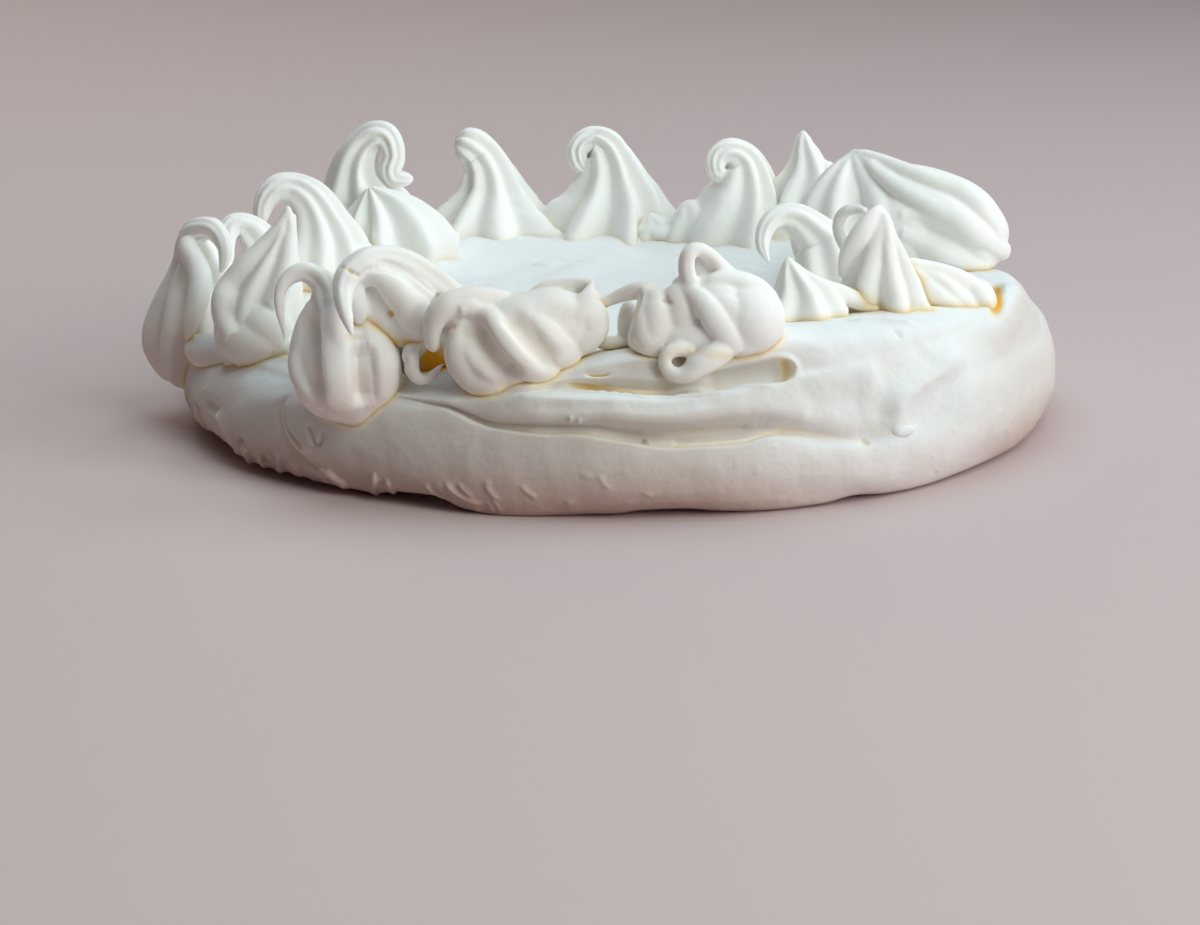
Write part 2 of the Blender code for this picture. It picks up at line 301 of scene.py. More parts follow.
def make_grain_group():
    """Foam skin: fine grain, low bubbles and a few pores."""
    group = bpy.data.node_groups.new("foam grain", "ShaderNodeTree")
    add_socket(group, "Bubbles", "INPUT", "NodeSocketFloat", 0.5)
    add_socket(group, "Pores", "INPUT", "NodeSocketFloat", 0.5)
    add_socket(group, "Height", "OUTPUT", "NodeSocketFloat")
    add_socket(group, "Pore mask", "OUTPUT", "NodeSocketFloat")
    given = add_node(group, "NodeGroupInput", -900, 0)
    result = add_node(group, "NodeGroupOutput", 700, 0)
    place = add_node(group, "ShaderNodeTexCoord", -900, -300).outputs["Object"]
    grain = set_inputs(add_node(group, "ShaderNodeTexNoise", -600, 300), Scale=1500.0, Detail=3.0)
    bubbles = set_inputs(add_node(group, "ShaderNodeTexNoise", -600, 0), Scale=280.0, Detail=1.0)
    pores = set_inputs(add_node(group, "ShaderNodeTexVoronoi", -600, -300), Scale=170.0)
    for node in (grain, bubbles, pores):
        group.links.new(place, node.inputs["Vector"])
    few = add_math(group, "GREATER_THAN", -300, -450, pores.outputs["Color"], PORE_CHANCE)
    near = add_math(group, "LESS_THAN", -300, -250, pores.outputs["Distance"], PORE_RADIUS)
    mask = add_math(group, "MULTIPLY", -100, -300, few, near)
    mask = add_math(group, "MULTIPLY", 100, -300, mask, given.outputs["Pores"])
    bumps = add_math(group, "MULTIPLY", -300, 0, bubbles.outputs[0], given.outputs["Bubbles"])
    fine = add_math(group, "MULTIPLY", -300, 300, grain.outputs[0], GRAIN_HEIGHT)
    height = add_math(group, "ADD", 100, 200, fine, bumps)
    height = add_math(group, "SUBTRACT", 300, 100, height, mask)
    group.links.new(height, result.inputs["Height"])
    group.links.new(mask, result.inputs["Pore mask"])
    return group


grain_group = make_grain_group()
print("group:", grain_group.name, "with", len(grain_group.nodes), "nodes")

# %% [markdown]
# ## Browning and painted shade
# Where foam meets foam the colour is partly browned sugar and partly painted shade: a thin line turns cream, then
# gold, and deep gaps are amber, a painted glow of light through thin foam. Three values painted on each piece say
# where. The first picks the browning with its painted crevice shade. The second is a beige tint on steep sides and
# on the front of the near kisses, partly the base's own colour and partly painted shade, paler towards the right
# where the light falls. The third is painted shade near the floor, rose as light bounced from the rose floor. The
# pores come last, with painted shade in them.


# %% Foam colour group
KISS_CREAM = (0.935, 0.92, 0.88, 1.0)
# The base's cream is greyer and cooler than the kisses': painted shade and cool sky light.
SKY_TINTED_BASE_CREAM = (0.845, 0.857, 0.845, 1.0)
# Browned sugar with painted crevice shade: cream, then gold, then amber, a painted glow of light through thin foam.
TOAST_SHADE_AND_GLOW_COLOURS = [(0.25, (0.87, 0.80, 0.66, 1.0)), (0.55, (0.78, 0.57, 0.26, 1.0)), (1.0, (0.85, 0.38, 0.01, 1.0))]
# A beige tint, partly the base's own colour and partly painted shade.
BEIGE_AND_SHADE = (0.82, 0.745, 0.69, 1.0)
# Painted shade near the floor, rose as light bounced from the rose floor.
ROSE_SHADE = (0.80, 0.60, 0.56, 1.0)
# Painted shade inside the pores.
PORE_SHADE = (0.42, 0.33, 0.26, 1.0)
FULL_TOAST_AND_SHADE = 4.0  # a toast of 1 / FULL_TOAST_AND_SHADE or more hides the cream under it


def make_foam_colour_group():
    """Foam colour from browned sugar with crevice shade, the beige and rose painted shade, and the pores."""
    group = bpy.data.node_groups.new("foam colour", "ShaderNodeTree")
    add_socket(group, "Cream", "INPUT", "NodeSocketColor", KISS_CREAM)
    for name in ("Toast_and_shade", "Beige_and_shade", "Rose_shade", "Pore mask"):
        add_socket(group, name, "INPUT", "NodeSocketFloat", 0.0)
    add_socket(group, "Colour", "OUTPUT", "NodeSocketColor")
    given = add_node(group, "NodeGroupInput", -1000, 0)
    result = add_node(group, "NodeGroupOutput", 1200, 0)
    ramp = add_node(group, "ShaderNodeValToRGB", -700, -300)
    ramp.color_ramp.elements.remove(ramp.color_ramp.elements[1])
    for place, colour in TOAST_SHADE_AND_GLOW_COLOURS:
        mark = ramp.color_ramp.elements[0] if place == TOAST_SHADE_AND_GLOW_COLOURS[0][0] else ramp.color_ramp.elements.new(place)
        mark.position = place
        mark.color = colour
    group.links.new(given.outputs["Toast_and_shade"], ramp.inputs["Fac"])
    strength = add_math(group, "MULTIPLY", -700, 0, given.outputs["Toast_and_shade"], FULL_TOAST_AND_SHADE, clamp=True)
    colour = given.outputs["Cream"]
    steps = [
        (given.outputs["Beige_and_shade"], "MULTIPLY", BEIGE_AND_SHADE),
        (given.outputs["Rose_shade"], "MULTIPLY", ROSE_SHADE),
        (strength, "MIX", None),
        (given.outputs["Pore mask"], "MIX", PORE_SHADE),
    ]
    for count, (mask, blend, tint) in enumerate(steps):
        mix = add_node(group, "ShaderNodeMix", -300 + 300 * count, 100, data_type="RGBA", blend_type=blend)
        group.links.new(mask, mix.inputs["Factor"])
        group.links.new(colour, mix.inputs["A"])
        if tint:
            mix.inputs["B"].default_value = tint
        else:
            group.links.new(ramp.outputs["Color"], mix.inputs["B"])
        colour = mix.outputs["Result"]
    group.links.new(colour, result.inputs["Colour"])
    return group


foam_colour_group = make_foam_colour_group()
print("group:", foam_colour_group.name, "with", len(foam_colour_group.nodes), "nodes")

# %% [markdown]
# ## The two finishes
# Both are the same foam. The base has more pores and bubbles than the kisses, and its cream is greyer and cooler:
# painted shade and cool sky light. A little light that spreads under the skin makes thin tips and edges glow as
# real foam does.


# %% Finishes
def make_foam(name, cream, bubbles, pores, relief):
    """A finish of meringue from the oven; relief is the height of its grain in metres."""
    finish = bpy.data.materials.new(name)
    finish.use_nodes = True
    tree = finish.node_tree
    shader = set_inputs(tree.nodes["Principled BSDF"], Roughness=0.82, Specular_IOR_Level=0.25)
    set_inputs(shader, Subsurface_Weight=0.25, Subsurface_Radius=(1.0, 0.8, 0.55), Subsurface_Scale=0.0015)
    grain = add_node(tree, "ShaderNodeGroup", -700, -200, node_tree=grain_group)
    set_inputs(grain, Bubbles=bubbles, Pores=pores)
    bump = set_inputs(add_node(tree, "ShaderNodeBump", -300, -300), Strength=1.0, Distance=relief)
    tree.links.new(grain.outputs["Height"], bump.inputs["Height"])
    tree.links.new(bump.outputs["Normal"], shader.inputs["Normal"])
    colour = set_inputs(add_node(tree, "ShaderNodeGroup", -300, 100, node_tree=foam_colour_group), Cream=cream)
    # Painted values on the points: browning with crevice shade, beige tint with shade, rose painted shade.
    for count, socket in enumerate(("toast_and_shade", "beige_and_shade", "rose_shade")):
        painted = add_node(tree, "ShaderNodeAttribute", -700, 500 - 200 * count, attribute_name=socket)
        tree.links.new(painted.outputs["Fac"], colour.inputs[socket.capitalize()])
    tree.links.new(grain.outputs["Pore mask"], colour.inputs["Pore mask"])
    tree.links.new(colour.outputs["Colour"], shader.inputs["Base Color"])
    return finish


base_finish = make_foam("baked_meringue_foam", SKY_TINTED_BASE_CREAM, 0.55, 0.9, 0.0006)
kiss_finish = make_foam("meringue_foam", KISS_CREAM, 0.35, 0.3, 0.00045)
print("finishes:", base_finish.name, kiss_finish.name)

# %% [markdown]
# ## Unevenness
# Hand-made foam is never even. Waves of random direction and length, added together, give soft lumps with no visible
# repeat. The seed is fixed, so every run gives the same lumps.


# %% Lumps
def lumps(points, size, seed, waves=14):
    """A smooth random value of about -1 to 1 at each point, with lumps about as wide as size (millimetres)."""
    chance = np.random.default_rng(seed)
    value = np.zeros(len(points))
    for _ in range(waves):
        direction = chance.normal(size=3)
        direction *= chance.uniform(0.7, 1.5) * math.pi / size / np.linalg.norm(direction)
        value += np.sin(points @ direction + chance.uniform(0.0, 2.0 * math.pi))
    return value * math.sqrt(2.0 / waves) * 0.6


print("lumps at the middle:", lumps(np.zeros((1, 3)), 10.0, 1).round(2))

# %% [markdown]
# ## The base, first as an outline
# The base is spread with a spatula, so its wall isn't turned: it is a lower roll, a crease, a bead laid on the roll
# with its own top edge, and an upper wall set back behind that edge. All of them change as they go round. Each table
# gives one size round the compass, in degrees from +X towards +Y, so the front is at -90. From the foot up:
#
# - the foot's radius and how far it lifts off the table, and the roll's widest radius;
# - the seam (the crease over the roll), its height, its depth, and the share of the bead that is hollowed out over it;
# - the bead over the seam, how far it leans in, and its top edge;
# - the shelf behind the edge, the crevice behind the shelf, and the rim's height;
# - how soft the corners are at the seam and at the edge: 1 rounds them off, 0 leaves them sharp.

# %% Sizes of the base
FOOT_RADII = {-180: 107, -150: 108, -136: 106, -128: 104, -119: 106, -105: 107, -93: 102, -86: 101, -69: 105, -51: 106,
              -32: 104, 0: 105, 45: 103, 90: 104, 135: 103}
ROLL_RADII = {-180: 113.5, -150: 113.5, -136: 112, -120: 110.5, -100: 109.5, -80: 109.5, -60: 110.5, -40: 112.5,
              -20: 114, 0: 114, 30: 112, 60: 110, 90: 109, 120: 111, 150: 112}
SEAM_HEIGHTS = {-180: 22, -150: 23, -130: 24, -120: 25, -113: 25, -105: 21.5, -94: 21.5, -85: 18.5, -72: 19, -63: 15.5,
              -56: 14.5, -48: 18, -40: 26, -5: 26, 8: 23, 30: 17, 60: 17, 90: 17, 120: 18, 150: 20}
SEAM_DEPTHS = {-180: 0.1, -150: 0.1, -124: 0.1, -116: 0.8, -112: 1.5, -104: 3, -95: 4, -85: 4.8, -72: 4.4, -62: 2.6,
              -56: 1.1, -50: 0.1, -5: 0.1, 10: 0.5, 30: 1.5, 60: 3, 90: 4, 120: 3.5, 150: 1}
BEAD_RADII = {-180: 105, -150: 104, -130: 103.5, -120: 104.8, -112: 107.3, -100: 108.7, -85: 108.7, -72: 107.8,
              -60: 107.8, -48: 108.8, -30: 109, 0: 108.4, 30: 107, 60: 107, 90: 107.5, 120: 108, 150: 106}
EDGE_RADII = {-180: 100, -150: 99.5, -130: 100, -118: 102, -112: 104, -100: 105.3, -85: 105.3, -76: 104.4, -68: 103.3,
              -60: 103.4, -45: 103.9, -30: 103.4, -15: 102.9, 0: 102.5, 30: 101, 60: 101.5, 90: 103, 120: 103.5,
              150: 102}
EDGE_HEIGHTS = {-180: 25.5, -150: 26, -130: 26, -118: 27, -112: 28, -100: 29, -91: 29, -85: 28.3, -80: 29.2, -68: 31,
              -50: 33, -30: 35.2, -18: 36.2, -5: 35.8, 10: 31, 45: 27, 90: 25.5, 140: 25}
SHELF_WIDTHS = {-180: 0.3, -104: 0.3, -98.5: 4.8, -92: 5.8, -85: 5.8, -75: 5, -67: 2.5, -60: 1, -35: 0.6, -8: 0.6,
              10: 1, 60: 2, 90: 4, 115: 3.5, 145: 1}
CREVICE_DEPTHS = {-180: 0, -104: 0, -98.5: 1.8, -92: 2.2, -85: 2.2, -72: 1.2, -66: 0, -5: 0, 5: 0, 60: 0.8, 90: 2,
              115: 1.5, 140: 0}
RIM_HEIGHTS = {-180: 27.3, -150: 27.8, -125: 28.5, -105: 32, -92: 36, -80: 38, -58: 41, -45: 40.5, -32: 38.8,
              -20: 38.2, -8: 38, 8: 35.5, 25: 33, 45: 32, 90: 31, 140: 29}
FOOT_LIFTS = {-180: 0.6, -162: 2.5, -155: 3.5, -149: 2.6, -143: 1.4, -137: 1.4, -131: 0.6, -124: 0.8, -119: 2.6,
              -114: 3.0, -110: 0.8, -106: 0, -91: 0, -87: 0.8, -82: 1.0, -77: 0.3, -70: 0, -64: 0.2, -59: 1.2,
              -54: 0.3, -48: 0, 0: 0, 20: 0.6, 45: 0, 75: 0.8, 95: 0, 130: 1.0, 160: 0}
BEAD_LEANS = {-180: 1.5, -120: 1.0, -110: 0.0, -74: 0.0, -66: 0.7, -58: 1.3, -50: 1.5, -30: 1.8, 0: 2.0, 20: 1.5,
              60: 0.5, 110: 0.3, 150: 1}
HOLLOW_SHARES = {-180: 0.2, -100: 0.2, -94: 0.28, -86: 0.45, -75: 0.45, -66: 0.3, -58: 0.2, 60: 0.3, 90: 0.3, 150: 0.2}
SEAM_SOFTNESS = {-180: 1, -126: 1, -117: 0.3, -108: 0.04, -74: 0.04, -67: 0.12, -60: 0.3, -54: 0.6, -46: 1, 5: 1,
              30: 0.4, 60: 0.15, 100: 0.15, 150: 0.6}
EDGE_SOFTNESS = {-180: 1, -107: 1, -101: 0.04, -84: 0.04, -78: 0.08, -72: 0.2, -66: 0.45, -60: 0.75, -52: 1, 5: 1,
              30: 0.5, 60: 0.15, 100: 0.15, 150: 0.6}
RIM_RADIUS = 93.0
WELL_TABLE = [(0, 29.0), (30, 28.6), (52, 29.2), (66, 30.4)]

WELL_RADIUS = RIM_RADIUS - 8.0
WELL_FLAT_RADIUS = 56.0
WELL_EDGE_HEIGHT = 29.0
FIRST_RADIUS = 3.0
LAST_RADIUS = 2.0

BASE_ROWS = {"underside": 3, "foot": 4, "roll": 90, "seam": 9, "bead": 40, "crevice": 12, "wall": 34, "rim": 12,
             "well": 64}
FRONT = (-170.0, -10.0)
FRONT_STEP = 0.24
BACK_STEP = 0.5
SOFTENING_TURNS = 160
EVEN_TURNS = 8  # the first turns soften every row alike; the later ones leave the creases sharp
FOOT_ROWS = 20.0
EDGE_ROW = 112.0
EDGE_ROWS = 16.0
print("rows in the outline:", sum(BASE_ROWS.values()))

# %% [markdown]
# ## The base's points
# The front carries the fine wrinkles, so its columns stand closer together than those at the back. For each column
# the corners of the outline are worked out first. Straight runs between them are then cut into rows, and smoothed
# along the outline as a spatula would: that rounds every corner but keeps the creases.


# %% Outline of the base
def base_columns():
    """The compass angles of the base's columns: close together at the front, wider at the back."""
    front = np.arange(FRONT[0], FRONT[1], FRONT_STEP)
    back = np.arange(FRONT[1], FRONT[0] + 360.0, BACK_STEP)
    return np.concatenate([front, back])


def base_corners(degrees):
    """The outline's corners at each column, as (name of the run that ends there, radii, heights)."""
    foot = read_compass(FOOT_RADII, degrees)
    roll = read_compass(ROLL_RADII, degrees)
    seam = read_compass(SEAM_HEIGHTS, degrees)
    seam_depth = read_compass(SEAM_DEPTHS, degrees)
    bead = read_compass(BEAD_RADII, degrees)
    edge = read_compass(EDGE_RADII, degrees)
    edge_height = read_compass(EDGE_HEIGHTS, degrees)
    upper = edge - read_compass(SHELF_WIDTHS, degrees)
    crevice = read_compass(CREVICE_DEPTHS, degrees)
    hollow = read_compass(HOLLOW_SHARES, degrees)
    lean = read_compass(BEAD_LEANS, degrees)
    rim = read_compass(RIM_HEIGHTS, degrees)
    corners = [("underside", foot - 8.0, 0.0 * foot), ("foot", foot, 0.0 * foot)]
    for turn in np.linspace(-80.0, 88.0, 9):
        inner = foot if turn < 0 else bead - 0.6 * seam_depth
        out = math.cos(math.radians(turn)) ** 0.8
        up = 0.5 + 0.5 * math.sin(math.radians(turn))
        corners.append(("roll", inner + (roll - inner) * out, seam * up * 0.98 + 0.1))
    corners += [
        ("seam", bead - seam_depth - 0.5, seam),
        ("seam", bead - 0.7 * seam_depth, seam + 0.4 * hollow * (edge_height - seam)),
        ("bead", bead - 0.1, seam + hollow * (edge_height - seam)),
        ("bead", bead - lean, seam + (0.35 + 0.65 * hollow) * (edge_height - seam)),
        ("bead", edge + 1.2, edge_height - 0.9),
        ("bead", edge, edge_height),
        ("crevice", upper - crevice, edge_height - 0.3 - 0.25 * crevice),
        ("crevice", upper - 0.6 * crevice, edge_height + 0.6),
        ("wall", upper - 0.3, edge_height + 0.35 * (rim - edge_height)),
        ("wall", 0.55 * upper + 0.45 * RIM_RADIUS, rim - np.minimum(1.4, 0.3 * (rim - edge_height))),
        ("rim", RIM_RADIUS + 0.0 * rim, rim),
        ("rim", WELL_RADIUS + 0.0 * rim, rim - 0.12 * (rim - WELL_EDGE_HEIGHT)),
    ]
    return corners


def base_outline(degrees):
    """The radius and the height of every row (first axis) at every column (second axis)."""
    corners = base_corners(degrees)
    radii = [np.full(len(degrees), FIRST_RADIUS)]
    heights = [np.zeros(len(degrees))]
    for run, rows in BASE_ROWS.items():
        ends = [(reach, height) for name, reach, height in corners if name == run]
        if run == "well":
            for share in np.linspace(0.0, 1.0, rows + 1)[1:]:
                reach = WELL_RADIUS * (1.0 - share) + LAST_RADIUS * share
                floor_height = read_table(WELL_TABLE, np.array([reach]))[0]
                side = smoothstep((reach - WELL_FLAT_RADIUS) / (WELL_RADIUS - WELL_FLAT_RADIUS))
                radii.append(np.full(len(degrees), reach))
                heights.append(floor_height * (1.0 - side) + heights_at_rim * side)
            continue
        start = (radii[-1], heights[-1])
        stops = [start] + ends
        lengths = [np.hypot(b[0] - a[0], b[1] - a[1]).mean() for a, b in zip(stops, stops[1:])]
        places = np.concatenate([[0.0], np.cumsum(lengths)]) / sum(lengths)
        for share in np.linspace(0.0, 1.0, rows + 1)[1:]:
            leg = max(min(np.searchsorted(places, share, side="left"), len(lengths)) - 1, 0)
            part = (share - places[leg]) / (places[leg + 1] - places[leg])
            radii.append(stops[leg][0] * (1.0 - part) + stops[leg + 1][0] * part)
            heights.append(stops[leg][1] * (1.0 - part) + stops[leg + 1][1] * part)
        heights_at_rim = heights[-1]
    radii, heights = np.array(radii), np.array(heights)
    row = np.arange(len(radii))[1:-1, None]
    on_edge = smoothstep((row - EDGE_ROW) / EDGE_ROWS)
    softer = (1.0 - on_edge) * read_compass(SEAM_SOFTNESS, degrees) + on_edge * read_compass(EDGE_SOFTNESS, degrees)
    softer *= smoothstep((row - FOOT_ROWS) / FOOT_ROWS)
    for turn in range(SOFTENING_TURNS):
        share = 1.0 if turn < EVEN_TURNS else softer
        for part in (radii, heights):
            part[1:-1] += share * (0.25 * part[:-2] - 0.5 * part[1:-1] + 0.25 * part[2:])
    return radii, heights


columns = base_columns()
radii, heights = base_outline(columns)
print("base:", len(columns), "columns by", len(radii), "rows, widest", round(radii.max(), 1), "mm")

# %% [markdown]
# ## Strokes
# A spatula or a nozzle leaves marks: soft valleys and folds, creases, sharp crests, dots, and lips where one smear
# ends on another. One brush makes them all. It finds the points of a skin that lie near a line in space, and moves
# each of them in or out along the way it faces, most at the line and less beside it. It can leave browning with
# painted crevice shade in the mark as well, or amber, a painted glow of light through thin foam. The finished skin
# can be thinned: the Decimate modifier keeps its shape with fewer faces.


# %% Stroke
def smooth_curve(places, steps):
    """Points on a smooth curve through places (rows), with a number of steps between each two."""
    places = np.array(places, float)
    before = np.vstack([2 * places[0] - places[1], places[:-2]]) if len(places) > 2 else 2 * places[:1] - places[1:2]
    after = np.vstack([places[2:], 2 * places[-1] - places[-2]])
    share = np.linspace(0.0, 1.0, steps, endpoint=False)[None, :, None]
    a, b, c, d = (row[:, None, :] for row in (before, places[:-1], places[1:], after))
    curve = 2 * b + (c - a) * share + (2 * a - 5 * b + 4 * c - d) * share**2 + (3 * b - a - 3 * c + d) * share**3
    curve *= 0.5
    return np.vstack([curve.reshape(-1, places.shape[1]), places[-1:]])


def near_line(points, curve, reach):
    """For the points within reach of a line: their numbers, distances, places along it (0 to 1) and nearest legs."""
    low, high = curve.min(axis=0) - reach, curve.max(axis=0) + reach
    near = np.flatnonzero(np.all((points > low) & (points < high), axis=1))
    best = np.full(len(near), np.inf)
    along = np.zeros(len(near))
    leg_of = np.zeros(len(near), int)
    legs = np.diff(curve, axis=0)
    lengths = np.maximum((legs**2).sum(axis=1), 1e-9)
    steps = np.concatenate([[0.0], np.cumsum(np.sqrt(lengths))])
    for number, (start, leg, length) in enumerate(zip(curve, legs, lengths)):
        away = points[near] - start
        part = np.clip(away @ leg / length, 0.0, 1.0)
        gap = np.linalg.norm(away - part[:, None] * leg, axis=1)
        closer = gap < best
        best[closer] = gap[closer]
        along[closer] = (steps[number] + part[closer] * math.sqrt(length)) / steps[-1]
        leg_of[closer] = number
    inside = best < reach
    return near[inside], best[inside], along[inside], leg_of[inside]


STROKE_ENDS = 0.22  # the share of a stroke's length over which it sets in, and fades out
LIP_EDGE = 0.22  # the share of a lip's width that its steep side takes


def stroke(points, facing, toast_and_shade, kind, width, height, gold_and_shade, path):
    """Moves the skin in or out along a path (all in millimetres), and adds browned sugar with painted crevice shade.
    """
    curve = smooth_curve(path, 6)
    near, gap, along, leg = near_line(points, curve, width)
    if not len(near):
        return
    seeds = near[np.argmin(np.linalg.norm(points[near][:, None] - curve[None], axis=2), axis=0)]
    out = facing[seeds][leg]
    same_side = smoothstep(((facing[near] * out).sum(axis=1) + 0.1) / 0.6)
    fade = smoothstep(along / STROKE_ENDS) * smoothstep((1.0 - along) / STROKE_ENDS)
    share = gap / width
    if kind == "lip":
        heading = np.diff(curve, axis=0)[leg]
        beside = np.cross(out, heading)
        on_left = ((points[near] - curve[leg]) * beside).sum(axis=1) > 0
        sharp = np.clip(1.0 - share / LIP_EDGE, 0.0, 1.0) ** 0.7
        shape = np.where(on_left, sharp, (1.0 - share) ** 1.6)
    elif kind == "crease":
        shape = (1.0 - share) ** 2
    elif kind == "crest":
        shape = (1.0 - share) ** 1.7
    else:
        shape = 0.5 + 0.5 * np.cos(math.pi * share)
    if kind == "dot":
        fade = 1.0
    points[near] += (height * shape * fade * same_side)[:, None] * facing[near]
    if gold_and_shade:
        toast_and_shade[near] += gold_and_shade * np.clip(1.0 - 1.15 * share, 0.0, 1.0) * fade * same_side


def count_triangles(mesh):
    """How many triangles a mesh has once its faces are cut into them."""
    return sum(len(face.vertices) - 2 for face in mesh.polygons)


def modify(mesh, kind, **settings):
    """A new mesh, as a modifier with these settings leaves the given one, which is removed."""
    holder = bpy.data.objects.new("holder", mesh)
    bpy.context.scene.collection.objects.link(holder)
    modifier = holder.modifiers.new(kind, kind)
    for setting, value in settings.items():
        setattr(modifier, setting, value)
    modified = bpy.data.meshes.new_from_object(holder.evaluated_get(bpy.context.evaluated_depsgraph_get()))
    bpy.data.objects.remove(holder)
    bpy.data.meshes.remove(mesh)
    return modified


def thin_out(mesh, points, toast_and_shade, most):
    """A copy of a mesh with this many triangles at most, its points, and the painted value of the nearest old point.
    """
    move_points(mesh, points)
    lighter = modify(mesh, "DECIMATE", ratio=most / count_triangles(mesh), use_collapse_triangulate=True)
    tree = KDTree(len(points))
    for number, point in enumerate(points):
        tree.insert(point, number)
    tree.balance()
    kept = point_places(lighter)[0] / MM
    return lighter, kept, np.array([toast_and_shade[tree.find(point)[1]] for point in kept])


def sculpt(name, mesh, points, finish, stands_for=None, most=None):
    """Puts a piece's points in place, works its strokes into them, and makes it a piece that stands for its solid."""
    toast_and_shade = np.zeros(len(points))
    for group in STROKES.get(name, []):
        move_points(mesh, points)
        facing = point_places(mesh)[1]
        for given in group:
            stroke(points, facing, toast_and_shade, *given)
    if most:
        mesh, points, toast_and_shade = thin_out(mesh, points, toast_and_shade, most)
    piece = finish_piece(name + "_foam", mesh, points, stands_for)
    mesh.materials.append(finish)
    painted_toast_and_shade[piece.name] = toast_and_shade
    return piece


painted_toast_and_shade = {}
print("a curve through three places:", len(smooth_curve([(0, 0, 0), (1, 1, 0), (2, 0, 0)], 6)), "points")

# %% [markdown]
# ## The marks on each piece
# A mark is (kind, width, height, gold, places on its line). The gold is browning with painted crevice shade, and
# near 1 it is amber, a painted glow of light through thin foam. The marks of a piece come in groups: the big folds
# come first, and the ways that the skin faces are worked out again before each group.

# %% Stroke table
STROKES = {}
STROKES["kiss_front_hook"] = [
    [
        ("lip", 8, 2.4, 0, [(-64, -92.9, 21), (-66.3, -95, 24.9), (-67.7, -95.7, 30.8), (-68, -94.2, 37.2),
         (-68.3, -91.5, 42.5), (-69.3, -88.6, 47.8)]),
        ("lip", 9, 1.2, 0, [(-57.1, -91.5, 21.6), (-58, -93.2, 25.9), (-58.1, -94.1, 31.9), (-58.2, -93.1, 37.4),
         (-59, -91, 42.4)]),
        ("soft", 4.4, -2.2, 0.05, [(-71.6, -86.8, 45.9), (-71.2, -89.9, 40.9), (-70.8, -93.8, 35.6),
         (-70.3, -95, 30.2), (-68.9, -94.3, 25.2)]),
        ("soft", 4.6, -2.6, 0.05, [(-60.1, -93.1, 38.8), (-59.6, -94.7, 34.4), (-59.7, -94.6, 28.9),
         (-59.7, -93.3, 23.1)]),
        ("soft", 1.8, -0.6, 0, [(-50.5, -90.9, 36.4), (-50.5, -92.6, 33.9), (-50.7, -83.3, 28.3)]),
        ("crease", 1.5, -0.55, 0, [(-68, -92.6, 40.1), (-68.5, -90.1, 45.5), (-69.6, -87.5, 49.7),
         (-71.7, -86.4, 52.5), (-75, -86.1, 54.1)]),
        ("crest", 1.3, 0.4, 0, [(-69.5, -91.5, 41.3), (-70, -88.8, 45.9), (-71.4, -86, 49.3), (-73.5, -85.4, 51.6),
         (-76.1, -86.3, 52.7)]),
        ("crest", 1.3, 0.4, 0, [(-66.3, -93.5, 40.8), (-66.9, -90.4, 46.3), (-68, -87.4, 50.6), (-70.3, -85.9, 53.8),
         (-74.1, -85.3, 55.4)]),
    ],
    [
        ("crease", 1.4, -0.8, 0.3, [(-68.2, -92.6, 39.9), (-65.8, -94.1, 40), (-63, -93.7, 39.9), (-59.9, -92.2, 40)]),
        ("crease", 1.2, -0.5, 0, [(-71.6, -85.8, 49), (-70.3, -88.8, 45.4), (-69.9, -91.5, 40.8)]),
    ],
]
STROKES["kiss_front_claw"] = [
    [
        ("crease", 1.4, -0.55, 0.02, [(-59.5, -93, 57.7), (-54.4, -90.3, 57.1), (-49.2, -88.4, 54.4),
         (-44.7, -86.9, 50.2), (-42.1, -83.6, 46.7)]),
        ("soft", 1.6, -0.8, 0.08, [(-59.1, -92.8, 54.4), (-56.8, -92.3, 55.7), (-53.6, -91.7, 55.5),
         (-50.5, -91.1, 53.8), (-47.4, -89.5, 50.8), (-44.7, -88, 47.9)]),
    ],
    # Gold marks: painted crevice shade with browning, and amber, a painted glow of light through thin foam.
    [
        ("crease", 0.9, -0.9, 0.45, [(-64.8, -93, 56.5), (-62.2, -94.7, 55.9), (-59.8, -93.2, 54.2)]),
        ("soft", 1.5, -0.3, 0.8, [(-53.6, -91, 45.9), (-53.2, -91, 45.2), (-52.5, -91.2, 44.5)]),
        ("soft", 1.6, 0, 0.4, [(-59.3, -92.9, 45.4), (-55.9, -90.1, 40.3), (-53.1, -89.7, 38.2), (-50.1, -90.4, 38.2),
         (-46.6, -90.8, 38.7)]),
        ("soft", 7, 0, 1.3, [(-47.1, -81.8, 33.7), (-44.3, -81.5, 31.7), (-41.8, -78.4, 29.7)]),
    ],
]
STROKES["kiss_front_turned"] = [
    [
        ("soft", 4.8, -2.5, 0.12, [(-34.6, -97.7, 46), (-32.7, -101.3, 41.2), (-29.9, -102.9, 37.6),
         (-26.3, -102.6, 34.2), (-23.1, -100.9, 31.7)]),
        ("soft", 4.2, -1.7, 0.1, [(-26.7, -98.4, 47.1), (-23.9, -100.5, 44.8), (-20.7, -101.4, 41.4),
         (-17.1, -100.5, 37.7), (-14.8, -98.5, 34.9)]),
    ],
    [
        ("crease", 1.6, -1.2, 0.6, [(-41.8, -96.3, 38.7), (-40, -91, 39.9), (-38.5, -97.9, 43.7),
         (-37.4, -97.5, 44.8)]),
        ("crease", 1, -0.4, 0.1, [(-16.9, -100.8, 38.7), (-16.2, -100.1, 36.9), (-15.3, -98.9, 35.2)]),
        ("soft", 2, 0, 0.35, [(-34.7, -99.7, 28.5), (-30.1, -99.9, 26.9), (-25.5, -98.8, 26.5), (-21.8, -93.5, 27.7)]),
    ],
]
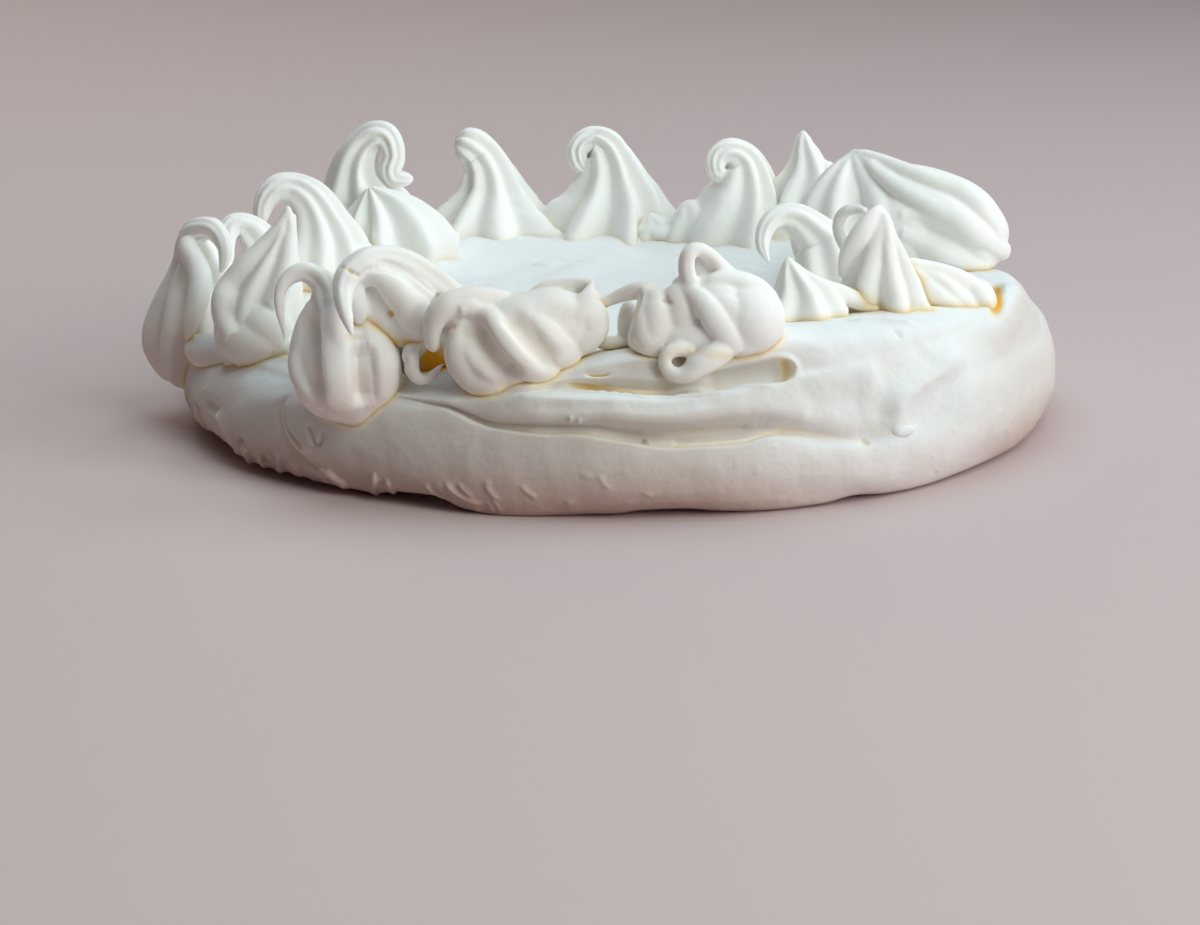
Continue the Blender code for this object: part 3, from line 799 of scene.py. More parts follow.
STROKES["kiss_front_shell"] = [
    [
        ("crease", 1.4, -1.2, 0.25, [(4.8, -90.6, 50.8), (3.8, -93.3, 47.4), (2.9, -95.2, 43.3), (2.7, -94.6, 39.2)]),
        ("soft", 1.8, -0.9, 0.06, [(10.1, -93.2, 49.5), (10.8, -94.1, 48.7), (11.4, -94.1, 49.4)]),
        ("soft", 1.6, -0.6, 0.2, [(12.7, -91.9, 33.7), (13.5, -91.8, 33.6), (14.1, -93.5, 34.4)]),
    ],
    [
        ("soft", 2, 0, 0.35, [(4.5, -96.4, 37.2), (9.1, -99.7, 37), (16, -98.4, 37.7), (22.9, -100.2, 37.2),
         (30.2, -92.1, 35.1)]),
    ],
]
STROKES["base"] = [
    [
        ("soft", 9, 1.2, 0, [(-34.2, 76.5, 30.2), (-40.7, 68.3, 29.9), (-46.2, 53.7, 29.7), (-49.8, 36.4, 29.4),
         (-50.8, 24, 29.3)]),
        ("soft", 9, 1, 0, [(-0.3, 49.4, 29.2), (-6.9, 39.9, 28.9), (-13.8, 26.8, 28.7), (-21.9, 13, 28.9)]),
        ("soft", 5, 0.8, 0, [(-21, 38.4, 29), (-18.9, 42.3, 29), (-16.4, 38.4, 29)]),
        ("soft", 5, 0.7, 0, [(-39.8, 17, 29.1), (-37.8, 20.8, 29.1), (-35.6, 18.8, 29)]),
        ("soft", 9, -0.8, 0, [(-0.5, 67.4, 30.6), (7, 60.3, 30.1), (12.9, 47.6, 29)]),
        ("soft", 9, -0.8, 0, [(-26.6, 44.3, 29.1), (-31.8, 35, 28.9), (-36.9, 26, 29.1), (-41.1, 11.2, 29)]),
        ("soft", 7, 0.8, 0, [(-84.2, 51.9, 26.9), (-80.9, 57.2, 26.9), (-77.2, 62.7, 26.9)]),
        ("soft", 6, -0.9, 0.04, [(58.1, -86.8, 31.1), (62.5, -84.8, 30.3), (66.7, -82.3, 30.2), (70.6, -79, 30.9),
         (74.4, -74, 32.4)]),
        ("soft", 7, 1.2, 0, [(66.7, -88.6, 10.4), (64.7, -88.2, 14), (64, -87, 18.5), (65.5, -85.4, 22.7),
         (69.5, -81.5, 25.7), (75.7, -75.6, 28.1), (83.3, -66.8, 30.7)]),
        ("crest", 4.6, 2.1, 0, [(65, -88.1, 14), (64.3, -86.9, 18.5), (65.5, -85.5, 22.5), (69.5, -81.6, 25.4),
         (75.7, -75.7, 27.9), (83.3, -66.8, 30.7)]),
        ("soft", 6, -0.4, 0.03, [(53.8, -92.4, 14.9), (57.7, -90.6, 15.3), (60.3, -89.4, 17.5), (61.8, -88.2, 20.3),
         (62.5, -87.1, 22.9)]),
        ("soft", 7, 0.7, 0, [(40.9, -96.2, 29.5), (46.4, -93.2, 30.2), (52.7, -90.1, 30.4), (58.6, -87.5, 28.8),
         (63.5, -85.6, 26.9)]),
        ("soft", 9, -0.7, 0, [(41.6, -98.6, 24.4), (47.6, -95.2, 25.5), (53.7, -91.4, 25.5), (59, -88.6, 24.8)]),
        ("soft", 5, 0.55, 0, [(66.9, -88, 4.1), (70.2, -86.2, 8.8), (75.5, -81.4, 13.6), (80.2, -77, 17.9),
         (83.8, -73, 22.1), (86.9, -66, 26.3), (89.4, -57.8, 31)]),
    ],
    [
        ("soft", 3.2, -1.3, 0.16, [(-8.1, -106.4, 21), (-0.1, -105.6, 20), (9.1, -104.1, 19.2), (18.4, -102.4, 19),
         (27.7, -100.4, 19.1), (34.7, -98.4, 19.6)]),
        ("crease", 2, -1, 0.32, [(-44.7, -94.8, 26.3), (-34.7, -100.5, 22.8), (-27.7, -102.7, 21.2),
         (-18.5, -105.7, 20.8), (-11.6, -106.1, 20.9), (-4.7, -107.1, 20.4), (4.5, -106.4, 18.6), (10.2, -106.3, 17.8),
         (18.3, -105.3, 17.8), (27.6, -103.4, 18), (33.5, -99.7, 18.7), (39.5, -96.8, 18.4), (46.6, -94.4, 16.8),
         (53.8, -92.2, 15.1), (59.5, -91.3, 13.6)]),
        ("dot", 1, -1, 0.5, [(56.9, -91.3, 14.6), (57.9, -91.2, 14.3)]),
        ("crest", 1.3, 0.7, 0, [(-17.4, -100.1, 28.8), (-12.8, -98.7, 29), (-4.7, -101.3, 28.7), (4.5, -104, 28.4),
         (9.1, -103.3, 28), (18.3, -102.7, 28.6), (27.6, -100.3, 29.4)]),
        ("crease", 2, -1.2, 0.62, [(-17.4, -99.4, 29.6), (-12.8, -98.7, 29.9), (-4.7, -98.6, 28.9), (4.5, -99.3, 28.2),
         (9.2, -98.9, 27.8), (18.4, -99.5, 28.7), (27.6, -98.4, 29.6)]),
        ("soft", 4.4, -2.4, 0.05, [(17.5, -96.6, 28.9), (22, -95.8, 29.4), (27.8, -94.5, 30.3), (33.6, -93.6, 31.3),
         (40.6, -92.7, 32.3)]),
        ("crest", 1.8, 0.9, 0, [(18, -96.6, 31.1), (23.1, -95.5, 32.7), (28.9, -94.1, 33.8), (33.6, -93.1, 34.5),
         (37.1, -92.4, 34.8), (39.9, -92.1, 34), (41.1, -92.8, 32), (40.3, -95.6, 30.3), (38.3, -97.1, 29.5)]),
        ("crest", 1.6, 0.5, 0, [(19.5, -98.9, 28.8), (25.3, -98.4, 29.4), (32.2, -98.8, 29.7), (36.9, -97.4, 29.6)]),
        ("crease", 1.1, -1.2, 0.5, [(-8.4, -98.2, 32.4), (-5.4, -98.9, 32.4), (-2.2, -99, 32.6)]),
        ("soft", 1.4, 0.5, 0, [(-11.8, -107.8, 24.4), (-11.1, -107.9, 24)]),
        ("soft", 1.4, 0.5, 0, [(-10, -107.9, 23.7), (-8.8, -107.7, 23.4)]),
        ("dot", 1.6, -0.5, 0.06, [(65.4, -76.5, 37.4), (66.4, -77.1, 36.5)]),
        ("crest", 3.6, 2.6, 0, [(35.8, -80.5, 39.2), (41.5, -40.9, 31.4), (45, -40.2, 31.8), (46.9, -65.5, 37.8),
         (50.1, -71.1, 39), (52.6, -73.7, 39.1)]),
        ("soft", 7, 2, 0, [(101.7, -18.3, 35.7), (97.9, -34.8, 35.4), (94.8, -46.3, 33.7), (91, -54.4, 32),
         (85.1, -63.5, 31.9)]),
        ("soft", 2.6, -1.4, 0.08, [(56.6, -10.3, 30.5), (57.5, -21.9, 31.5), (57.7, -39.1, 33.8)]),
        ("crest", 2.6, 1.2, 0, [(54.2, -73.5, 39.1), (59.1, -72.1, 39), (65.6, -71.8, 38.7), (71.7, -70.8, 37.5)]),
        ("crease", 2.2, -1.4, 0.15, [(-77.3, -74.8, 21.5), (-80.3, -74.1, 20.1), (-81.7, -74.9, 17.4),
         (-81.2, -76.3, 13.8), (-79.2, -78.2, 10.1), (-75.9, -80.7, 7.5), (-71.6, -83.9, 5.5), (-67.7, -85.8, 3.8)]),
        ("crease", 1.6, -1.1, 0.06, [(-79.9, -75.1, 19.4), (-80.4, -76.6, 16.1), (-79.1, -78.3, 13.3),
         (-76.8, -80.5, 11.2), (-74.8, -82.3, 9.7)]),
        ("crest", 1.6, 0.8, 0, [(-80.1, -77.3, 14), (-78.1, -79.3, 12.1), (-75.5, -81.7, 10.5), (-73, -83.9, 9.1)]),
        ("crease", 1.7, -1.2, 0.06, [(-74.4, -81.6, 16.6), (-73.1, -83.5, 13.7), (-72.2, -84.6, 10.8)]),
        ("crease", 1.5, -0.9, 0.02, [(-70.1, -85.1, 16.1), (-70.6, -85.4, 13.7), (-71.9, -84.8, 11.1)]),
        ("lip", 3.4, 1.2, 0, [(-91.1, -62.9, 3.2), (-94.3, -61.1, 6.3), (-97, -57.9, 9.7), (-99.8, -52.2, 13)]),
        ("soft", 2.2, -1.6, 0.1, [(-93, -63.9, 8.5), (-92.1, -64.9, 7.5), (-91.4, -65.6, 6.4)]),
        ("crease", 1.8, -1, 0.03, [(-107.4, -34.7, 10.7), (-105, -42.7, 9.6), (-103.6, -42.7, 5.7),
         (-99.8, -48, 4.7)]),
        ("soft", 3, -1.2, 0.02, [(-102.6, -47.1, 13.8), (-100.4, -51.1, 12.8), (-97.3, -56.9, 13.2)]),
        ("lip", 3, 1.4, 0, [(-91, -66.4, 7.2), (-90.1, -64.9, 3.7), (-88.5, -63.3, 1.9)]),
        ("lip", 3, 1.3, 0, [(-87, -70.4, 7.7), (-86.2, -69.5, 4.2), (-84.7, -67.8, 1.8)]),
        ("lip", 3, 1.4, 0, [(-81.6, -75.7, 8.9), (-81.3, -74.5, 5.4), (-80.3, -72.6, 2)]),
        ("lip", 3, 1, 0, [(-79.3, -77.4, 7.1), (-77.4, -78.5, 5), (-75.3, -77.3, 1.9)]),
        ("lip", 3.6, 1.4, 0, [(-73.7, -82.3, 6), (-69.9, -85.3, 5.6), (-66.4, -86.8, 4.1), (-62.8, -86.7, 1.7)]),
        ("lip", 3, 1.4, 0, [(-57.9, -93.6, 8.1), (-57.2, -93.2, 5.4), (-56.9, -86.6, 1)]),
        ("lip", 2.6, 1.1, 0, [(-55.2, -94.7, 6.5), (-53.9, -94.6, 5), (-52.3, -91, 2.4)]),
        ("crest", 1.2, 0.7, 0, [(-45.6, -99.6, 6.9), (-43.6, -99.4, 4.4), (-40.2, -100.3, 3)]),
        ("crest", 1.3, 0.9, 0, [(-41.1, -101.7, 8.2), (-39, -102.2, 5.7), (-36.2, -102.9, 4), (-31.5, -104.2, 2.5)]),
        ("crest", 1.2, 0.6, 0, [(-37.6, -102.9, 7.9), (-36, -103.2, 5.8), (-33.9, -103.8, 4.3)]),
        ("crest", 1.3, 0.6, 0, [(-31.2, -105, 8), (-29.6, -105.2, 5.6), (-27.6, -105.7, 4.1)]),
        ("crest", 1.3, 0.5, 0, [(-23.3, -107, 8.5), (-21.5, -107.2, 6.7), (-19, -107.2, 5)]),
        ("crest", 1.3, 0.4, 0, [(-5.2, -109.6, 11.6), (-3.8, -109.6, 9.3), (-2.4, -109.5, 7.8)]),
    ],
    # Gold marks: painted crevice shade with browning, and amber, a painted glow of light through thin foam.
    [
        ("dot", 3, -0.4, 0.75, [(38.1, -92.9, 33), (38.3, -93.2, 31.9), (37.5, -94.2, 31)]),
        ("soft", 2.8, -1.4, 1.1, [(95, -21.3, 37.6), (94, -37.9, 37.1), (92.4, -47.7, 35.2), (89.7, -54.2, 33.7)]),
        ("soft", 10, 0, 1.6, [(-47.3, -61.4, 28.9), (-44.4, -71.9, 28.9), (-41, -83.2, 29.2)]),
    ],
]

# %% [markdown]
# ## Build the base
# The columns of the outline become a tube. Its wall gets low lumps, its foot lifts off the table here and there as a
# baked foot does, and then it takes its marks.

# %% Build the base
def on_wall(degrees, height):
    """The place on the roll at a compass angle and a height (millimetres)."""
    column = np.argmin(np.abs((columns - degrees + 180.0) % 360.0 - 180.0))
    row = np.argmin(np.abs(heights[:, column] - height) + 0.3 * (radii[:, column].max() - radii[:, column]))
    turn = math.radians(columns[column])
    return (radii[row, column] * math.cos(turn), radii[row, column] * math.sin(turn), heights[row, column])


FOOT_TEARS = [  # first and last angle, gap between two, kind, width, height
    (-166, -134, 2.6, "lip", 2.4, 0.8),
    (-132, -124, 2.5, "lip", 2.0, 0.5),
    (-118, -104, 1.7, "crest", 1.0, 0.4),
    (60, 84, 3.0, "lip", 2.8, 0.9),
    (128, 150, 2.8, "lip", 2.6, 0.8),
    (20, 34, 2.2, "crest", 1.6, 0.6),
]
FOOT_BUMPS = 90


def foot_marks():
    """Strokes of chance: torn lips and wrinkles along the foot, low bumps, and smears round the back."""
    chance = np.random.default_rng(12)
    marks = []
    for first, last, gap, kind, wide, high in FOOT_TEARS:
        degrees = float(first)
        while degrees < last:
            top, lean = chance.uniform(3.0, 7.5), chance.uniform(0.6, 2.5)
            size, tall = wide * chance.uniform(0.7, 1.3), high * chance.uniform(0.6, 1.3)
            path = [on_wall(degrees - lean * share**1.5, 0.6 + top * share) for share in (1.0, 0.66, 0.33, 0.0)]
            marks.append((kind, size, tall, 0.0, path))
            degrees += gap * chance.uniform(0.5, 1.4)
    for _ in range(FOOT_BUMPS):
        degrees, height = chance.uniform(-165.0, 195.0), chance.uniform(2.5, 17.0)
        aside, above = chance.uniform(0.1, 0.4), chance.uniform(-0.4, 0.4)
        path = [on_wall(degrees, height), on_wall(degrees + aside, height + above)]
        marks.append(("dot", chance.uniform(0.7, 1.5), chance.uniform(0.1, 0.3), 0.0, path))
    for place in np.arange(-4.0, 188.0, 12.0):
        degrees, height = place + chance.uniform(-5.0, 5.0), chance.uniform(5.0, 27.0)
        long, rise = chance.uniform(12.0, 30.0), chance.uniform(-7.0, 7.0)
        path = [on_wall(degrees + long * share, height + rise * share**1.4) for share in (0.0, 0.25, 0.5, 0.75, 1.0)]
        marks.append(("soft", chance.uniform(5.0, 9.0), chance.choice([1.3, -1.2, 1.0]), 0.0, path))
    return marks


MOST_TRIANGLES = 192000

base_mesh, ring, angle = make_tube(len(columns), len(radii) - 1)
column = np.rint((angle + math.pi) / (2.0 * math.pi) * len(columns)).astype(int) % len(columns)
turn = np.radians(columns[column])
reach = radii[ring, column]
base_points = np.stack([reach * np.cos(turn), reach * np.sin(turn), heights[ring, column]], axis=1)
outside = smoothstep((reach - 88.0) / 8.0) * smoothstep(base_points[:, 2] / 4.0)  # 1 on the wall, 0 in the well
uneven = 0.45 * lumps(base_points, 17.0, 5) + 0.16 * lumps(base_points, 6.0, 6)
base_points[:, 0] += outside * uneven * np.cos(turn)
base_points[:, 1] += outside * uneven * np.sin(turn)
base_points[:, 2] += 0.5 * smoothstep((base_points[:, 2] - 20.0) / 8.0) * uneven
lift = read_compass(FOOT_LIFTS, np.degrees(turn))
near_foot = smoothstep(1.0 - base_points[:, 2] / 10.0) * smoothstep((reach - 90.0) / 10.0)
base_points[:, 2] += lift * near_foot
STROKES["base"].append(foot_marks())
base = sculpt("base", base_mesh, base_points, base_finish, "base", most=MOST_TRIANGLES)
print("base:", len(base.data.polygons), "faces")

# %% [markdown]
# ## A piped rope
# A star nozzle draws a ribbed rope. Pressed down it bulges; pulled up it thins, and its tip flops over. So a rope is
# a tube whose middle line is a smooth curve through a few places, each with its own radius, and whose rings are stars
# with soft ribs. `crest` is 1 on a rib and 0 in a valley: below 1 its power makes fat ribs with narrow valleys, and
# above 1 it makes narrow ridges with wide valleys, as on kisses that have slumped.


# %% Rope
def even_stations(curve, count):
    """The same curve as count + 1 points, evenly spaced along its skin (its last column is the radius)."""
    moved = np.linalg.norm(np.diff(curve, axis=0), axis=1)
    along = np.concatenate([[0.0], np.cumsum(moved)])
    wanted = np.linspace(0.0, along[-1], count + 1)
    return np.column_stack([np.interp(wanted, along, column) for column in curve.T])


LEAST_RADIUS = 0.12
LUMP_SIZE = 9.0
LUMP_HEIGHT = 0.35
LUMPY_RADIUS = 8.0  # thinner parts of a rope have lower lumps


def rope(path, seed, ribs=3, depth=(0.03, 0.03), crest=(1.0, 1.0), twist=0.0, start=0.0, thin=1.0, sides=120,
         rings=140):
    """
    The mesh and the points (millimetres) of a rope through places (x, y, z, radius), from its foot to its tip.

    Depth and crest are given at the foot and at the tip. Twist is how far the ribs turn on the way, in degrees.
    """
    stations = even_stations(smooth_curve(path, 12), rings)
    centres, radius = stations[:, :3], np.maximum(stations[:, 3], LEAST_RADIUS)
    heading = np.gradient(centres, axis=0)
    heading /= np.maximum(np.linalg.norm(heading, axis=1), 1e-6)[:, None]
    across = [np.cross(heading[0], (0.0, 1.0, 0.0))]
    for step in range(1, len(centres)):
        carried = across[-1] - heading[step] * (across[-1] @ heading[step])
        across.append(carried / np.linalg.norm(carried))
    across[0] = across[0] / np.linalg.norm(across[0])
    across = np.array(across)
    other = np.cross(heading, across)

    mesh, ring, angle = make_tube(sides, rings)
    share = np.linspace(0.0, 1.0, rings + 1)
    chance = np.random.default_rng(seed)
    sway = chance.uniform(0.0, 2.0 * math.pi, 6)
    uneven = angle + 0.07 * np.sin(angle + sway[0]) + 0.05 * np.sin(2 * angle + sway[1])
    power = (crest[0] + (crest[1] - crest[0]) * share)[ring]
    deep = (depth[0] + (depth[1] - depth[0]) * share)[ring]
    on_rib = (0.5 + 0.5 * np.cos(ribs * uneven)) ** power
    deep = deep * (1.0 + 0.3 * np.sin(angle + sway[4]) + 0.25 * np.sin(2 * angle + sway[5]))
    reach = radius[ring] * (1.0 - deep * (1.0 - on_rib))
    reach *= 1.0 + 0.04 * np.sin(angle + sway[2]) + 0.03 * np.sin(3 * angle + sway[3])
    turn = angle + np.radians(twist * smoothstep(share) + start)[ring]
    points = centres[ring] + across[ring] * (reach * np.cos(turn))[:, None]
    points += other[ring] * (thin * reach * np.sin(turn))[:, None]
    fade = np.clip(radius[ring] / LUMPY_RADIUS, 0.05, 1.0)
    for axis in range(3):
        points[:, axis] += LUMP_HEIGHT * fade * lumps(points, LUMP_SIZE, seed * 10 + axis)
    return mesh, points


test_stations = even_stations(smooth_curve([(0, 0, 0, 2), (0, 0, 5, 4), (0, 0, 9, 1)], 4), 3)
print("a rope's stations:", test_stations.round(1).tolist())

# %% [markdown]
# ## The kisses
# Each kiss is made of up to three kinds of shells: ropes, ridges (thin ropes laid on its skin as ribs) and lobes (soft
# balls: centre, three radii, tilt in degrees). All sizes are in millimetres, and each rope has its own seed.

# %% Kisses
KISSES = {}

# %% Kisses at the left
KISSES["kiss_left_outer"] = dict(
    ropes=[
        dict(seed=11, ribs=8, depth=(0.16, 0.2), crest=(0.8, 0.7), twist=10, start=10, path=[
            (-106.8, -13, 7.8, 5), (-106.7, -13, 10, 9.8), (-106.9, -13, 13.4, 13.2), (-107, -13, 17.9, 15),
            (-107.1, -13, 22.7, 15.3), (-107.2, -13, 28, 14.4), (-107.5, -13, 33.2, 12.2), (-107.9, -13, 37.9, 9.4),
            (-108.5, -13, 42.4, 6.6), (-109, -14, 46.2, 4.6), (-108, -15, 49, 3.6), (-105.5, -17, 50.4, 3.2),
            (-102.7, -19, 50.6, 2.9), (-100.5, -21, 48.9, 2.5), (-99.3, -23, 46.2, 2.1), (-99.6, -24, 43.1, 1.5),
            (-100.7, -24, 40.5, 0.6)]),
        dict(seed=48, depth=(0.06, 0.06), sides=36, rings=70, path=[
            (-109.6, -17, 47.6, 2.2), (-108.6, -20, 45.1, 2.9), (-106.4, -24, 42.1, 3), (-105.3, -28, 38.8, 2.9),
            (-105.6, -30.5, 35, 2.8), (-106.9, -31.5, 31.1, 2.4), (-108.1, -31, 27.1, 1.5), (-108.8, -30, 24, 0.5)]),
    ],
)
KISSES["kiss_left_arch"] = dict(
    ropes=[
        dict(seed=12, ribs=7, depth=(0.25, 0.2), crest=(0.9, 0.8), twist=20, path=[
            (-92.3, 9, 18.9, 8.2), (-92.3, 9, 24.9, 10), (-92.1, 9, 29, 10), (-92.3, 9, 34.9, 8), (-92.9, 9, 39.7, 6),
            (-94.6, 9, 43.4, 4.8), (-97.2, 9, 45.8, 4), (-99.9, 8, 46.6, 3.5), (-101.9, 6, 45.1, 3),
            (-102.5, 4, 42, 2.6), (-102.1, 2, 39, 2), (-101.6, 1, 36, 0.6)]),
    ],
)
KISSES["kiss_left_peak"] = dict(
    ropes=[
        dict(seed=13, ribs=7, depth=(0.1, 0.25), crest=(0.8, 0.8), twist=15, start=12, path=[
            (-88.8, -42, 19.7, 5), (-88.7, -42, 21.5, 9), (-88.9, -42, 24.8, 10.8), (-89, -42, 28.9, 11.4),
            (-88.9, -42, 33.4, 11.5), (-88.5, -42, 37.5, 10.8), (-87.4, -42, 41.5, 9.6), (-85.9, -42, 45.6, 7.8),
            (-84, -42, 50.1, 5.4), (-82.7, -42, 53.6, 3.8), (-81.9, -42, 57.1, 2.4), (-81.5, -42, 59.6, 1.4),
            (-81.3, -42, 61.3, 0.4)]),
        dict(seed=63, depth=(0.04, 0.04), sides=60, rings=80, path=[
            (-107.3, -28, 22.8, 3), (-104.7, -31, 21.9, 4.6), (-100, -35, 22, 5.2), (-93.9, -39.5, 22.8, 5.2),
            (-87.9, -44.5, 24.1, 5), (-82.4, -50, 25.4, 4.4), (-78.6, -54, 26.1, 3)]),
    ],
    ridges=[
        [(-81, -42, 60.2, 1), (-83.5, -42.8, 55.7, 1.8), (-87.5, -43.7, 50.9, 2.4), (-91.8, -44.8, 46.8, 2.8),
         (-95.1, -44.8, 42.4, 3.2), (-96.9, -46.5, 38.3, 3.6), (-96.6, -48.1, 34.1, 3.6), (-94.1, -51.6, 30, 3)],
        [(-80.2, -41.3, 58.9, 1), (-81.1, -43.5, 52.9, 2.2), (-81.8, -45.4, 47.3, 2.8), (-83, -48, 41.7, 3),
         (-85.3, -49.4, 37.5, 2.6)],
    ],
    lobes=[(-95.1, -46, 35.1, 4.4, 5, 6.6, 0), (-86.8, -49, 31.3, 6.8, 5.4, 7, 0), (-89.6, -46, 28.8, 9.8, 9, 7.4, 0)],
)
KISSES["kiss_left_hook"] = dict(
    ropes=[
        dict(seed=14, ribs=8, depth=(0.25, 0.2), crest=(0.9, 0.8), twist=20, path=[
            (-79.3, 24, 19.2, 12.3), (-79.3, 24, 25.2, 15), (-79.2, 24, 29.5, 15.5), (-79.1, 24, 34.5, 14),
            (-79.2, 24, 39.3, 11.5), (-79.9, 24, 43.7, 9), (-81.4, 24, 47.8, 7), (-83.7, 24, 51, 5.6),
            (-86.9, 24, 52.9, 4.7), (-90.2, 23, 53.3, 4), (-92.8, 22, 51.4, 3.4), (-94.1, 21, 48.6, 2.8),
            (-94.4, 20, 45.8, 2), (-94.2, 20, 43.4, 0.6)]),
    ],
    lobes=[(-72, 26, 35.1, 8, 8, 4.6, 8)],
)

# %% Kisses at the front
KISSES["kiss_front_hook"] = dict(
    ropes=[
        dict(seed=15, ribs=8, depth=(0.03, 0.2), crest=(0.8, 0.8), twist=6, start=10, path=[
            (-63.3, -84, 17, 3), (-63.1, -84, 18.5, 7.5), (-63.1, -84, 20.2, 9.2), (-63.3, -84, 23.1, 11),
            (-63.7, -84, 26.5, 12.2), (-64, -84, 29.9, 12.7), (-63.9, -84, 33.5, 12.5), (-64.3, -84, 37.2, 11.4),
            (-65.2, -84, 40.8, 9.4), (-66.5, -84, 44.4, 7.4), (-67.8, -84, 47.7, 4.9), (-68.9, -84, 50.6, 3.5),
            (-71, -84, 52.5, 2.7), (-73.8, -84, 53.6, 2.4), (-76.5, -84.5, 52.8, 2.1), (-78.6, -85.5, 50.9, 1.7),
            (-79.5, -86.5, 48, 1.4), (-79.3, -87.5, 44.2, 1.1), (-78.6, -88, 40.5, 0.6), (-78.3, -88, 37.1, 0.2)]),
        dict(seed=36, ribs=4, depth=(0.05, 0.05), sides=32, rings=60, path=[
            (-46.9, -89, 37.8, 1), (-48.5, -90.5, 36.3, 1.9), (-48.7, -91.5, 33.9, 2.1), (-48.2, -92, 31.4, 1.8),
            (-46.8, -92.5, 29.8, 1.4), (-45, -92.5, 29.8, 1.15), (-43.3, -92.5, 31.3, 1), (-42.2, -92, 32.3, 0.7),
            (-41, -91.5, 33.4, 0.3)]),
    ],
    ridges=[
        [(-71.7, -85.1, 46.3, 1.5), (-73.4, -85.5, 41, 2.8), (-73.9, -86.2, 34.6, 4), (-73.5, -88.5, 30.2, 4),
         (-70.9, -90.5, 26, 3.5), (-68.4, -91.9, 23, 2)],
        [(-68.1, -87.3, 48.4, 1.6), (-66.4, -89.3, 43.5, 2.6), (-64.7, -90.8, 38.4, 4.2), (-64.3, -92.2, 34.3, 4.8),
         (-64.2, -92.6, 29.7, 4.7), (-63.8, -91.9, 25.1, 4), (-63, -91.6, 22.4, 2.5)],
        [(-60.3, -88.5, 43.3, 2), (-57.9, -89, 38.9, 3.4), (-56.3, -89.2, 34.5, 4.8), (-56, -89.1, 30.2, 4.8),
         (-56.8, -89.4, 25.8, 4), (-58, -90.2, 22.8, 2.5)],
    ],
    lobes=[(-56.6, -83, 24.6, 8.5, 7, 5.2, 0), (-51.3, -81, 24.1, 6.5, 6, 2.8, 0)],
)
KISSES["kiss_front_claw"] = dict(
    ropes=[
        dict(seed=16, ribs=6, depth=(0.05, 0.05), crest=(0.8, 0.8), twist=10, start=10, sides=72, rings=70, path=[
            (-44, -70, 28, 4), (-44.5, -70, 30, 9), (-45.3, -71, 34.1, 10.5), (-47.1, -72, 38.8, 10),
            (-49.5, -74, 43.3, 8.5), (-51.7, -77, 47.1, 6.5), (-53.1, -80, 50.7, 4)]),
        dict(seed=44, ribs=7, depth=(0.1, 0.2), crest=(0.8, 0.8), twist=25, start=10, sides=80, rings=120, path=[
            (-37.4, -76, 37.7, 5), (-39.4, -78, 43.5, 5.2), (-42.8, -80, 48, 4.9), (-46.6, -82, 51.9, 4.5),
            (-50.8, -84.5, 55.2, 4.1), (-55.3, -87, 56.9, 3.7), (-59.3, -89.5, 56.5, 3.9), (-62.4, -92, 54.9, 3.4),
            (-63.8, -94.5, 51.9, 2.8), (-63.6, -97.5, 48.6, 2.2), (-62.5, -99.5, 45, 1.4),
            (-61.5, -100.5, 41.9, 0.35)]),
        dict(seed=45, sides=48, rings=100, path=[
            (-59.3, -91, 52.8, 1.4), (-56.2, -91.5, 53.8, 2.3), (-53.3, -91, 52.3, 3), (-50.8, -90.5, 49.6, 3.6),
            (-48.6, -90, 46.4, 4.1), (-47.1, -89, 43.1, 4), (-47.6, -88.5, 40.4, 3.2), (-49.9, -88.5, 38.8, 2.2),
            (-53, -88.5, 38.6, 1.3), (-55.5, -88.5, 39.9, 1), (-58.3, -88.5, 43.2, 0.9), (-60.7, -89, 46.4, 0.7)]),
        dict(seed=50, sides=40, rings=50, path=[
            (-57.6, -88, 55.2, 2), (-54.4, -87.3, 54.8, 3), (-51.2, -86.3, 52.7, 3.5), (-48.3, -85.3, 49.7, 3.7),
            (-45.6, -84.3, 46.3, 3.8)]),
    ],
    lobes=[(-53.6, -87.3, 45.3, 10, 3.6, 9, 36), (-57.4, -87, 43.1, 5, 3, 4, 40),
           (-61.2, -91.5, 48.4, 2.6, 2.4, 6, -8)],
)
